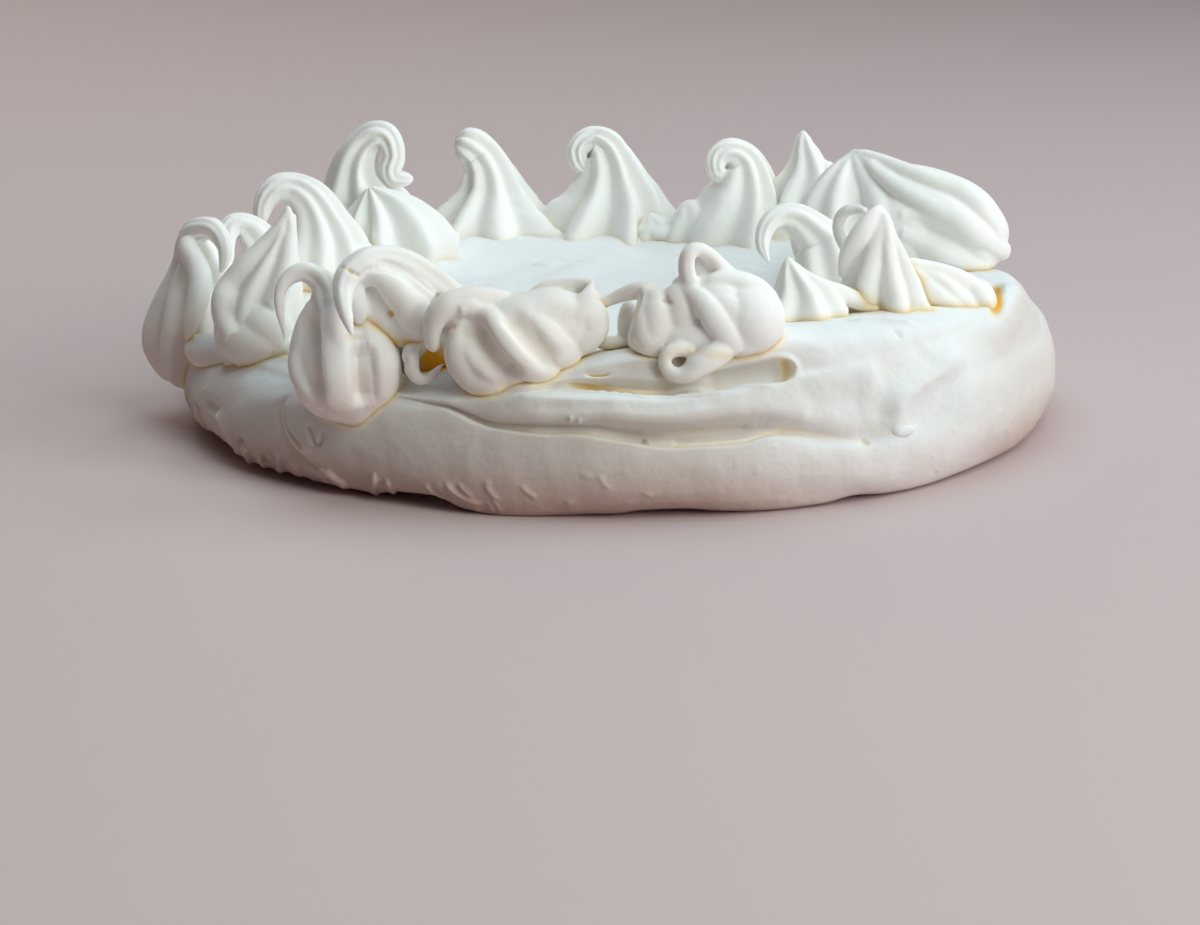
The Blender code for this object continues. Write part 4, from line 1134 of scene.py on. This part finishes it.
KISSES["kiss_front_turned"] = dict(
    ropes=[
        dict(seed=17, ribs=6, depth=(0.02, 0.02), crest=(0.8, 0.8), twist=60, path=[
            (-35, -92, 30.9, 3), (-33.6, -92, 32.1, 7.4), (-31, -92, 34.2, 10), (-27.2, -92, 36.9, 11),
            (-23.3, -92, 39.3, 10.8), (-19.1, -91, 40.9, 9.6), (-15.4, -90, 42.1, 8.6), (-11.7, -89, 42.6, 7.4),
            (-8.7, -88, 42.9, 6), (-6.6, -88, 42.6, 3), (-5.6, -88, 42.4, 0.5)]),
        dict(seed=31, depth=(0.04, 0.04), crest=(0.8, 0.8), twist=40, sides=48, rings=80, path=[
            (-43.1, -95.5, 37, 0.5), (-43.2, -95.7, 38, 1.5), (-43.5, -96, 39.7, 1.9), (-43.5, -96.5, 42.2, 2.2),
            (-42.4, -96.8, 45.6, 2.8), (-39.9, -96.5, 48.1, 3.1), (-36.3, -95, 49.2, 3), (-32.4, -93.5, 49.2, 2.9),
            (-28.5, -91.5, 48.2, 2.9), (-25.1, -89.5, 46.5, 2.7)]),
        dict(seed=46, depth=(0.04, 0.04), crest=(0.8, 0.8), sides=36, rings=60, path=[
            (-21.7, -86, 47.4, 1), (-19.6, -85, 48.6, 1.6), (-16.8, -84.5, 49.6, 1.9), (-13.6, -84.5, 50.1, 1.9),
            (-10.1, -85, 50.6, 1.7), (-7.7, -86, 51.2, 1.2), (-6.1, -86.5, 52.1, 0.4)]),
        dict(seed=39, depth=(0.04, 0.04), crest=(0.8, 0.8), sides=48, rings=70, path=[
            (-21.7, -88.5, 47.7, 0.8), (-19.5, -90.5, 46.5, 1.7), (-16.5, -92, 45.2, 2.6), (-12.8, -92, 44.5, 3.4),
            (-9.6, -91.2, 45.7, 3.4), (-7.7, -90, 48.1, 2.5), (-7, -88.5, 50.1, 1.4), (-6.1, -87, 51.9, 0.3)]),
    ],
    ridges=[
        [(-37.2, -95.6, 44.4, 2), (-36.9, -96.6, 40.2, 3.4), (-36.9, -97, 37.5, 4), (-35.8, -97.2, 34.8, 4.4),
         (-33.7, -96.9, 32.2, 4.6), (-30.4, -97, 30.6, 4.6), (-26.8, -96.8, 29.8, 4.2), (-23.3, -96.3, 29.7, 3)],
        [(-37.5, -97.9, 47.6, 1.8), (-34.8, -96, 47.9, 2.6), (-31.9, -94.6, 45.8, 3.2), (-29.5, -97.8, 44.3, 3.6),
         (-27.5, -99.9, 41.7, 4), (-25.1, -100.5, 38.8, 4.2), (-22.1, -99.8, 35.9, 4.2), (-19, -97.2, 33.7, 4),
         (-15.8, -94.5, 32.6, 3)],
        [(-22.2, -96.9, 47.1, 1.6), (-20.8, -96.5, 45.3, 3), (-18.8, -96.1, 42.4, 4.4), (-16.7, -95.6, 39.5, 5),
         (-14.7, -93.9, 37.3, 5), (-11.5, -91.5, 34.1, 3.6)],
    ],
    lobes=[(-28.8, -93, 36.4, 12, 10, 9.6, 20), (-36.8, -93.5, 46, 6, 3.6, 4.2, -20),
           (-13.8, -84.5, 46.4, 9.5, 1.6, 5, -5), (-8.2, -88.5, 42.7, 5.6, 6, 6.6, -6),
           (-9.4, -90, 39, 7.5, 5, 4.2, -30)],
)
KISSES["kiss_front_shell"] = dict(
    ropes=[
        dict(seed=18, ribs=4, depth=(0.03, 0.05), crest=(0.8, 0.8), start=20, sides=80, rings=70, path=[
            (19.4, -88, 34.7, 6), (19.1, -87.5, 36.3, 8.6), (18, -87, 40, 8), (16.3, -87, 44.1, 6.2),
            (14.9, -87.5, 47.5, 4.2), (13.7, -88, 50.2, 2.4), (12.7, -88.5, 52.7, 0.6)]),
        dict(seed=37, ribs=4, depth=(0.03, 0.05), crest=(0.8, 0.8), sides=60, rings=60, path=[
            (7.2, -90, 35.2, 3), (7.6, -90, 36.9, 6.4), (8.5, -91, 40.9, 6.6), (8.5, -91, 45, 5.6),
            (8.1, -90, 47.8, 4), (6.7, -89, 50, 2.2), (5.3, -88.5, 52, 0.5)]),
        dict(seed=40, sides=40, rings=60, path=[
            (12.7, -90, 53.3, 0.5), (14.9, -92, 51.6, 1.5), (17.7, -94, 49.7, 2.3), (20.4, -95.5, 46.9, 2.9),
            (22.7, -96, 43.7, 3.2), (24.8, -95.8, 40.6, 3.2), (26.8, -94.5, 37.7, 2.6)]),
        dict(seed=47, sides=48, rings=60, path=[
            (16.2, -89, 50.9, 2), (19.2, -91, 49, 3.6), (22.1, -92.5, 47, 4.8), (25.2, -92.8, 44.2, 5.6),
            (27.8, -92.2, 41, 5.8), (29.7, -91, 38.1, 5)]),
        dict(seed=49, sides=40, rings=60, path=[
            (19.6, -92, 49.2, 1), (20, -92, 51.4, 1.6), (21.7, -91.5, 52.7, 2.1), (24.7, -90.5, 52.9, 2.5),
            (28.2, -89.3, 51.7, 3), (31.6, -88, 49.8, 3.2), (34.4, -87, 46.9, 3.2)]),
        dict(seed=42, sides=40, rings=80, path=[
            (16.6, -95.5, 37.5, 1.9), (14, -97.3, 38.1, 1.9), (11.6, -98.5, 37.8, 1.7), (10.3, -99, 36.4, 1.6),
            (10.4, -99.3, 34.6, 1.6), (11.7, -99.5, 33.1, 1.8), (13.7, -99.6, 32.5, 2), (15.8, -99.4, 33.2, 2.4),
            (17.6, -98.9, 34.7, 2.9), (20.2, -97.9, 36.1, 3.2), (23, -96.2, 37.6, 3.3), (25.4, -94, 39, 3)]),
        dict(seed=32, ribs=5, depth=(0.08, 0.08), sides=48, rings=90, path=[
            (19.1, -92, 48, 1.8), (17.5, -92, 50.4, 2), (15.9, -91.5, 53.6, 2.1), (15.4, -91, 56.8, 2),
            (16.1, -90.5, 59.3, 1.9), (18.2, -89.5, 59.9, 1.8), (20.8, -88.5, 58.2, 1.9), (23.1, -88, 55.5, 2.2),
            (25.7, -88, 52.9, 2.4), (28.8, -88, 50, 2.2)]),
        dict(seed=38, depth=(0.05, 0.05), sides=32, rings=50, path=[
            (7.1, -89, 49.8, 2.2), (4.1, -88, 49.8, 2.2), (1.1, -87, 48.8, 1.9), (-1.9, -86, 47.4, 1.5),
            (-4.7, -86, 46, 1.2), (-7, -86, 45, 0.6)]),
    ],
    ridges=[
        [(5.8, -89.7, 51.2, 1), (5.8, -90.8, 48.1, 2), (5.4, -94.2, 44.1, 2.6), (5.8, -95.2, 40.8, 3),
         (7.3, -95.6, 38.8, 3)],
    ],
    lobes=[(29.1, -88, 43.3, 9.4, 10, 9, 16), (24.1, -89.5, 47, 9.5, 6.5, 5.6, 35), (18, -87.5, 36.8, 16, 8, 4, 0),
           (16.6, -92.3, 39.8, 11, 5.2, 5, 0), (14.3, -91, 44, 5.5, 5, 8.5, -8), (20, -86.5, 53.5, 4.2, 1.4, 5.6, 10),
           (1.9, -83.5, 40.4, 2.6, 3, 6.2, 0), (-1.9, -86, 36.9, 4.5, 3, 1.6, 0)],
)

# %% Kisses at the right
KISSES["kiss_right_small"] = dict(
    ropes=[
        dict(seed=19, ribs=7, depth=(0.3, 0.3), crest=(1.1, 1), twist=10, path=[
            (44.1, -61, 30.7, 9.8), (44.1, -61, 36.7, 12), (43.8, -61, 39, 12), (43.3, -61, 42.4, 9),
            (42.5, -61, 45.4, 6.2), (41.5, -61, 48.3, 3.9), (40.8, -61, 50.5, 2.1), (40.5, -61, 52.3, 0.6)]),
        dict(seed=35, ribs=4, depth=(0.1, 0.1), sides=32, rings=60, path=[
            (41.7, -61, 49.1, 1.2), (44.7, -61, 46.6, 2.2), (48.8, -61, 44.6, 2.5), (54.5, -60, 42.5, 2.4),
            (60.2, -59, 40, 1.8), (63.7, -58, 38.3, 0.5)]),
    ],
)
KISSES["kiss_right_peak"] = dict(
    ropes=[
        dict(seed=20, ribs=8, depth=(0.3, 0.28), crest=(1.1, 1), twist=8, start=10, path=[
            (65, -50, 27.2, 11.9), (65, -50, 33.2, 14.5), (64.9, -50, 35.5, 14.5), (64.6, -50, 39.3, 12.5),
            (64.1, -51, 43.5, 10.3), (63.8, -51, 47.5, 8.2), (63.6, -52, 51.6, 6.2), (63.5, -52, 55.6, 4.5),
            (63.5, -52, 59, 3), (63.1, -52, 61.8, 1.7), (63.1, -52, 63.5, 0.5)]),
        dict(seed=33, depth=(0.05, 0.05), thin=0.8, sides=40, rings=50, path=[
            (62.8, -53, 63.2, 0.6), (61.3, -54, 61.4, 1.6), (59.3, -55, 58.7, 2.3), (57.5, -55, 55.7, 2.6),
            (55.9, -54, 52.5, 2.5), (55.1, -53, 49.4, 2.2), (55.2, -52, 45.7, 2)]),
        dict(seed=52, depth=(0.05, 0.05), sides=48, rings=50, path=[
            (62.8, -51, 60.8, 0.6), (61.6, -51.5, 57.5, 1.6), (60.2, -52, 53.9, 2.6), (59.3, -52, 50.2, 3.4),
            (58.9, -51.5, 45.8, 4.4), (59.1, -51, 41.5, 5)]),
        dict(seed=34, ribs=4, depth=(0.1, 0.1), sides=32, rings=50, path=[
            (59.9, -50, 61.4, 1), (57.9, -48, 61.5, 1.3), (55.5, -47, 61, 1.5), (53.9, -46, 59.1, 1.6),
            (53.5, -46, 56.4, 1.6), (54.1, -48, 54.1, 1.6), (55.2, -50, 52.2, 1.5), (56.6, -52, 51.1, 1)]),
    ],
    ridges=[
        [(63.9, -53.1, 61.6, 0.8), (63, -54.3, 57, 1.5), (61.3, -56.1, 51.5, 2.1), (60, -57.4, 45.5, 2.6),
         (59.5, -58, 40.2, 3)],
        [(64.4, -53.1, 61.1, 0.8), (65, -55.4, 55.1, 1.5), (65.5, -56.4, 49.1, 2.1), (66.5, -59.5, 43.3, 2.6),
         (67.5, -60.6, 37.2, 2.6)],
        [(64.8, -54.1, 59.4, 0.7), (67.6, -54.2, 52.5, 1.6), (70.2, -55.1, 45.6, 2.4), (72.3, -56, 39.4, 2.8)],
    ],
)
KISSES["kiss_right_low"] = dict(
    ropes=[
        dict(seed=21, ribs=8, depth=(0.1, 0.2), twist=10, path=[
            (82.9, -40, 25.1, 10.5), (82.6, -40, 28.4, 11.8), (81.4, -41, 33, 11.2), (79.4, -42, 37.2, 9.6),
            (76.4, -43.5, 41.4, 7), (72.7, -45, 44.9, 4), (69.3, -47, 48.4, 0.7)]),
    ],
    ridges=[
        [(70.7, -46.5, 47.9, 1.4), (75.6, -45.4, 45.9, 2.4), (80.8, -44.7, 43.8, 3), (86.3, -42.7, 40.6, 3.2),
         (89.4, -44.8, 37.4, 3), (90.2, -45, 33.6, 2.4)],
        [(70.8, -46.8, 46.7, 1.4), (75.2, -47.3, 42.8, 2.6), (79.3, -48.4, 39, 3), (83.5, -48.5, 35.2, 3),
         (86.2, -48.7, 32.2, 2.4)],
        [(70.4, -46.6, 45.7, 1.2), (73.2, -46.3, 41.1, 2.4), (75.6, -47.1, 36.7, 3), (77, -47.8, 32.7, 2.6)],
    ],
    lobes=[(86.6, -40, 35, 7, 8, 8, 25), (75.6, -44, 31.6, 7, 6, 5, 0)],
)
KISSES["kiss_right_arch"] = dict(
    ropes=[
        dict(seed=22, ribs=7, depth=(0.3, 0.2), crest=(1.1, 0.9), twist=15, path=[
            (55.5, -4, 22.6, 9), (55.5, -4, 28.6, 11), (55.2, -4, 32.3, 11.5), (54.6, -4, 36.5, 10.5),
            (53.7, -4, 40.8, 8.6), (52.2, -3, 44.8, 6.8), (49.3, -3, 47.9, 5.4), (45.6, -3, 50.3, 4.3),
            (41.9, -4, 51, 3.4), (38.8, -6, 49.8, 2.7), (37.2, -8, 46.8, 2.2), (37.1, -10, 43.8, 1.6),
            (38.6, -11, 40.6, 0.4)]),
    ],
)
KISSES["kiss_right_long"] = dict(
    ropes=[
        dict(seed=23, ribs=7, depth=(0.1, 0.14), start=10, path=[
            (97.1, 7, 34.2, 6), (94.5, 8, 36.7, 12), (90.7, 10, 40.3, 15), (85.8, 12, 44.2, 15.5),
            (80.6, 14, 47.8, 14), (75.4, 16, 51.7, 11.5), (71.1, 18, 55.1, 8.6), (67.4, 19.5, 58.3, 5.8),
            (64.6, 21, 60.9, 3.4), (62.8, 22, 62.9, 1.8), (62, 22.5, 63.9, 0.6)]),
        dict(seed=51, ribs=7, depth=(0.2, 0.22), sides=72, rings=60, path=[
            (62.2, 22, 63.4, 0.8), (60.6, 21, 59.9, 3.6), (59.1, 20, 55.2, 7.4), (58, 19, 50.3, 10.5),
            (57.5, 18, 44.9, 12.5), (57.3, 17, 39.1, 12.5), (57.3, 17, 32.1, 10.5)]),
    ],
    ridges=[
        [(62.9, 20.9, 63.4, 1), (65.3, 20.3, 62.7, 1.8), (70, 17.3, 61.1, 2.6), (75.9, 12.6, 58.7, 3.2),
         (82.1, 8.4, 56.8, 3.6), (88.1, 6.3, 54.9, 3.8), (92.9, 4.3, 51.5, 3.8), (96.4, 2.7, 46.9, 3.6),
         (98.5, 2.9, 43.7, 2.6)],
        [(62.2, 20.5, 62.8, 0.9), (64.3, 17.2, 58.4, 2.2), (67.1, 13, 53.9, 3), (69, 6.2, 49.7, 3.4),
         (70.6, 2, 45.8, 3.4)],
        [(66.1, 17.1, 61.4, 1.5), (71.1, 11.5, 57.6, 2.4), (76.7, 5.8, 54.4, 3), (82.6, 1.9, 51.7, 3.2),
         (88.8, -0.8, 49.6, 2.6)],
        [(72.8, 2.3, 49.7, 2), (78.7, 2.8, 49.3, 3), (86.3, -0.1, 49.1, 3.6), (91.5, -0.7, 46.5, 3.8),
         (96.4, 1.5, 43.1, 3.6), (101, 5.4, 39.7, 2.4)],
        [(73.1, 0, 46.2, 2), (79.3, -0.2, 43.3, 3), (84.4, -1.3, 40.9, 3.4), (90.7, 0, 38.5, 3.4),
         (95.9, 1.4, 37.6, 2.6)],
    ],
    lobes=[(75.6, 12, 43.1, 13, 14, 12, 10)],
)

# %% Kisses at the back
KISSES["kiss_back_right"] = dict(
    ropes=[
        dict(seed=24, ribs=8, depth=(0.26, 0.25), crest=(1, 1.2), twist=20, path=[
            (73.6, 53.2, 21, 14.4), (73.6, 53.2, 27, 17), (73.6, 53.5, 30, 15.5), (73.6, 53.9, 35, 13),
            (73.6, 54.4, 40, 9.5), (73, 54.8, 44.9, 6), (71, 55.2, 49.4, 3.4), (68.6, 55.6, 52.7, 1.6),
            (67.9, 55.7, 53.6, 0.3)]),
    ],
)
KISSES["kiss_back_peak"] = dict(
    ropes=[
        dict(seed=25, ribs=7, depth=(0.28, 0.25), crest=(1.1, 1), twist=15, path=[
            (53.7, 75, 23.1, 12.7), (53.7, 75, 29.1, 15.5), (53.6, 75, 32, 15), (53.5, 75, 38.6, 12.8),
            (53.4, 75, 43.7, 10.2), (53.6, 75, 48.3, 7.6), (53.3, 75, 52.3, 5.4), (52.6, 75, 55.7, 3.6),
            (52.3, 75, 58.5, 2.2), (52.3, 75, 60.5, 0.6)]),
    ],
    lobes=[(59.2, 74, 48.8, 2.6, 3, 3.2, 0)],
)
KISSES["kiss_back_curl"] = dict(
    ropes=[
        dict(seed=26, ribs=8, depth=(0.28, 0.2), crest=(1.1, 0.8), twist=22, path=[
            (34.4, 74, 19.3, 17.2), (34.4, 74, 25.3, 21), (34.4, 74, 27.3, 20.5), (34.3, 74, 31.6, 18),
            (34.8, 74, 36.5, 15.3), (35.3, 74, 40.8, 12.8), (35.9, 74, 44.8, 10.4), (35.8, 74, 48.8, 8),
            (34.7, 74, 52.2, 6), (32.3, 73, 54.4, 4.6), (29.8, 72, 54.5, 3.8), (27.8, 71, 53, 3.3),
            (27.5, 70, 50.6, 2.9), (28.6, 70, 48.6, 2.4), (30.6, 70, 48.9, 1.6), (31.4, 70, 50.1, 0.5)]),
        dict(seed=61, ribs=7, depth=(0.25, 0.2), crest=(1, 0.8), twist=15, sides=80, rings=60, path=[
            (20.7, 72, 29.7, 10), (20.7, 72, 33.2, 9), (20.4, 72, 36.6, 6.5), (19.5, 72, 39.2, 3.8),
            (18.7, 72, 40.6, 1)]),
        dict(seed=62, ribs=7, depth=(0.25, 0.2), crest=(1, 0.8), twist=15, start=10, sides=80, rings=60, path=[
            (10.6, 75, 28.5, 9), (10.6, 75, 31.1, 8), (10.3, 75, 33.7, 5.5), (9.7, 75, 35.7, 2.6),
            (9.4, 75, 36.9, 0.6)]),
    ],
    lobes=[(15.7, 74, 31.3, 10, 8, 3.4, 5)],
)
KISSES["kiss_back_middle"] = dict(
    ropes=[
        dict(seed=27, ribs=8, depth=(0.3, 0.2), crest=(1.2, 0.8), twist=22, start=5, path=[
            (-1.2, 88, 17, 22.1), (-1.2, 88, 23, 27), (-1.3, 88, 25.9, 26), (-1.3, 88, 30.6, 22.5),
            (-1.3, 88, 35.5, 19), (-1.3, 88, 39.6, 15.8), (-1.6, 88, 43.1, 12.6), (-2.1, 88, 46.9, 9.8),
            (-3, 88, 50.3, 7.8), (-4.4, 88, 53.5, 6.2), (-7, 88, 54.9, 5), (-9.5, 87, 54.2, 4.1), (-11, 86, 52.1, 3.6),
            (-10.7, 85, 49.7, 3), (-9.3, 85, 48, 2), (-8.1, 85, 48.5, 0.6)]),
    ],
)
KISSES["kiss_back_bent"] = dict(
    ropes=[
        dict(seed=28, ribs=8, depth=(0.3, 0.2), crest=(1.2, 0.8), twist=18, start=10, path=[
            (-35.8, 88, 17.6, 21.3), (-35.8, 88, 23.6, 26), (-35.7, 88, 25.9, 24.5), (-36.3, 88, 30.3, 21.5),
            (-36.5, 88, 35, 17.5), (-36.5, 88, 38.7, 13.5), (-36.7, 88, 42.2, 10), (-37.3, 88, 45.4, 8.3),
            (-38.4, 88, 48.9, 7), (-40.4, 88, 52, 6.2), (-42.6, 87, 54.2, 5.4), (-44.8, 87, 55.1, 3.8),
            (-46, 87, 55.4, 1.2)]),
    ],
)
KISSES["kiss_back_low"] = dict(
    ropes=[
        dict(seed=29, ribs=8, depth=(0.3, 0.3), crest=(1.2, 1.1), twist=10, path=[
            (-62.7, 44, 26, 16.4), (-62.7, 44, 32, 20), (-63, 44, 34.2, 19.5), (-63.7, 44, 38.1, 17),
            (-64.7, 44, 42, 13.3), (-65.8, 44, 45.3, 9), (-66.8, 44, 47.8, 5), (-67.6, 44, 49.7, 1.4)]),
    ],
)
KISSES["kiss_back_loop"] = dict(
    ropes=[
        dict(seed=30, ribs=8, depth=(0.28, 0.2), crest=(1, 0.8), twist=15, path=[
            (-68.3, 56, 23.5, 16.4), (-68.3, 56, 29.5, 20), (-68.2, 56, 32.1, 20), (-69, 56, 36.3, 17),
            (-70, 56, 40.8, 14.5), (-71, 56, 45, 12), (-71.7, 56, 49.2, 9.6), (-71.7, 56, 53.1, 7.4),
            (-70.8, 56, 57, 5.8), (-69, 56, 60.1, 4.9), (-66.5, 55.5, 62.1, 4.3), (-63.7, 55, 61.9, 3.7),
            (-61.8, 54, 59.6, 3.3), (-61.2, 53, 56.4, 3), (-62, 52, 53.5, 2.9), (-61.2, 52, 51.3, 2.8),
            (-59.1, 52, 50.8, 2.4), (-57.1, 52, 50.8, 1.6), (-56, 52, 50.8, 0.5)]),
    ],
)

# %% Curl on the wall
CURLS = {}
CURLS["wall_hook"] = dict(
    ridges=[
        [(68, -80.7, 24.7, 1.8), (65.5, -83.1, 22.9, 2.5), (63.9, -84.9, 20.2, 2.9), (64, -85.8, 17.4, 2.8),
         (65.7, -85.9, 15.5, 2.2), (67.8, -85.5, 15.5, 1.4), (69.9, -84.4, 16.3, 0.4)],
    ],
)

# %% [markdown]
# ## One skin
# Some kisses are more than one rope: a second strand, or a soft lobe where the nozzle lingered. Drawn separately they
# only cross each other. A voxel Remesh modifier puts one closed skin round all of them, and a little smoothing turns
# the corner between two strands into the rounded valley that wet foam makes there.


# %% Merge
def lobe(centre_x, centre_y, centre_z, long_x, long_y, long_z, tilt):
    """The mesh and points of a soft lobe: a ball with three radii, tilted to the right."""
    ball = bmesh.new()
    bmesh.ops.create_icosphere(ball, subdivisions=5, radius=1.0)
    bmesh.ops.scale(ball, vec=(long_x, long_y, long_z), verts=ball.verts)
    bmesh.ops.rotate(ball, matrix=Matrix.Rotation(math.radians(tilt), 3, "Y"), verts=ball.verts)
    bmesh.ops.translate(ball, vec=(centre_x, centre_y, centre_z), verts=ball.verts)
    points = np.array([vert.co for vert in ball.verts])
    mesh = bpy.data.meshes.new("lobe")
    ball.to_mesh(mesh)
    ball.free()
    return mesh, points


def one_skin(shells, voxel=0.42, smoothing=3):
    """One closed mesh round several closed meshes (each with its points), and its points."""
    together = bmesh.new()
    for mesh, points in shells:
        move_points(mesh, points)
        together.from_mesh(mesh)
        bpy.data.meshes.remove(mesh)
    joined = bpy.data.meshes.new("joined")
    together.to_mesh(joined)
    together.free()
    finished = modify(joined, "REMESH", mode="VOXEL", voxel_size=voxel * MM)
    shape = bmesh.new()
    shape.from_mesh(finished)
    for _ in range(smoothing):
        bmesh.ops.smooth_vert(shape, verts=shape.verts, factor=0.5, use_axis_x=True, use_axis_y=True, use_axis_z=True)
    shape.to_mesh(finished)
    shape.free()
    return finished, point_places(finished)[0] / MM


# %% Build the kisses
LEAN_RADIUS = 98.0
LEAN_SHARE = 0.5


def lean_in(points):
    """Foam piped on the back edge of the base leans in: points that would hang past the edge are drawn back."""
    reach = np.hypot(points[:, 0], points[:, 1])
    past = np.maximum(reach - LEAN_RADIUS, 0.0) * smoothstep((points[:, 1] - 15.0) / 20.0)
    points[:, :2] *= (1.0 - LEAN_SHARE * past / reach)[:, None]
    return points


def build_foam(name, given, stands_for, finish):
    """One kiss or one curl of the wall, as a piece."""
    shells = [rope(**sizes) for sizes in given.get("ropes", [])]
    shells += [lobe(*sizes) for sizes in given.get("lobes", [])]
    for number, path in enumerate(given.get("ridges", [])):
        shells.append(rope(path, seed=60 + number, depth=(0.04, 0.04), sides=32, rings=60))
    shells = [(mesh, lean_in(points)) for mesh, points in shells]
    mesh, points = shells[0]
    if len(shells) > 1:
        mesh, points = one_skin(shells)
    return sculpt(name, mesh, points, finish, stands_for)


pieces = [build_foam(name, kiss, name, kiss_finish) for name, kiss in KISSES.items()]
curls = [build_foam(name, curl, None, base_finish) for name, curl in CURLS.items()]
print("kisses:", len(pieces), "and curls:", len(curls))

# %% [markdown]
# ## Painting the browning and the shade
# The browning with its painted crevice shade isn't a texture but a fact of place: it is where pieces nearly touch.
# Every point looks for the nearest other piece, and points that find one close by turn golden, as painted shade.
# The golden colour that the strokes left is added to that. The beige tint, partly painted shade, and the rose
# painted shade follow from the way that a point faces and from its place.


# %% Browning and painted shade
def surface_tree(piece):
    """A search tree of a piece's surface."""
    shape = bmesh.new()
    shape.from_mesh(piece.data)
    tree = BVHTree.FromBMesh(shape)
    shape.free()
    return tree


def paint(piece, name, values):
    """Stores one number for each point of a piece, for its finish to read."""
    attribute = piece.data.attributes.new(name, "FLOAT", "POINT")
    attribute.data.foreach_set("value", np.clip(values, 0.0, 1.0).astype(np.float32))


def nearness(places, others):
    """For each point, 1 where it touches another piece, falling to 0 at a distance of CLOSE."""
    near = np.zeros(len(places))
    for other in others:
        low, high = boxes[other.name]
        inside = np.all((places > low - CLOSE) & (places < high + CLOSE), axis=1)
        for index in np.flatnonzero(inside):
            found = trees[other.name].find_nearest(Vector(places[index]), CLOSE)
            if found[0] is not None:
                near[index] = max(near[index], 1.0 - found[3] / CLOSE)
    return near


CLOSE = 2.2 * MM
standing = pieces + [base]
trees = {piece.name: surface_tree(piece) for piece in standing}
boxes = {}
for piece in standing:
    places = point_places(piece.data)[0]
    boxes[piece.name] = (places.min(axis=0), places.max(axis=0))

for piece in pieces + curls + [base]:
    part_of_wall = piece is base or piece in curls
    places, facing = point_places(piece.data)
    x, y, z = places.T / MM
    close = nearness(places, [] if piece in curls else [other for other in standing if other is not piece])
    # Browning with painted crevice shade where pieces nearly touch, weaker towards the back.
    crevice_toast_and_shade = 0.5 - 0.32 * smoothstep((y - 10.0) / 40.0)  # the back browned less
    paint(piece, "toast_and_shade", crevice_toast_and_shade * close**1.5 + painted_toast_and_shade[piece.name])

    to_right = smoothstep((x - 5.0) / 65.0)
    if part_of_wall:
        # A beige tint on steep sides of the wall, partly own colour and partly painted shade, paler where light falls
        # on the right.
        paler = to_right * (1.0 - 0.85 * smoothstep((x - 78.0) / 24.0))
        beige_and_shade = smoothstep((1.0 - facing[:, 2]) / 0.5) * (1.0 - 0.8 * paler - 0.3 * smoothstep((-x - 30.0) / 40.0))
        # Rose painted shade near the floor, as light bounced from the rose floor.
        rose_shade = smoothstep(1.0 - z / 17.0) * (1.0 - 0.5 * paler)
    else:
        # Beige painted shade on the front of the near kisses.
        beige_and_shade = 0.42 * smoothstep((x + 55.0) / 15.0) * smoothstep((20.0 - x) / 12.0) * smoothstep((-y - 70.0) / 12.0)
        # Rose painted shade low on the kisses' sides, as light bounced from the rose floor.
        rose_shade = 0.45 * smoothstep(1.0 - (z - 22.0) / 18.0) * smoothstep(0.7 - facing[:, 2]) * (1.0 - 0.8 * to_right)
    paint(piece, "beige_and_shade", beige_and_shade)
    paint(piece, "rose_shade", rose_shade)
print("painted", len(pieces + curls) + 1, "pieces")

# %% Finish
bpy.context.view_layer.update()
triangles = [count_triangles(piece.data) for piece in pieces + curls + [base]]
print("triangles:", sum(triangles), "in all, most in one piece", max(triangles))
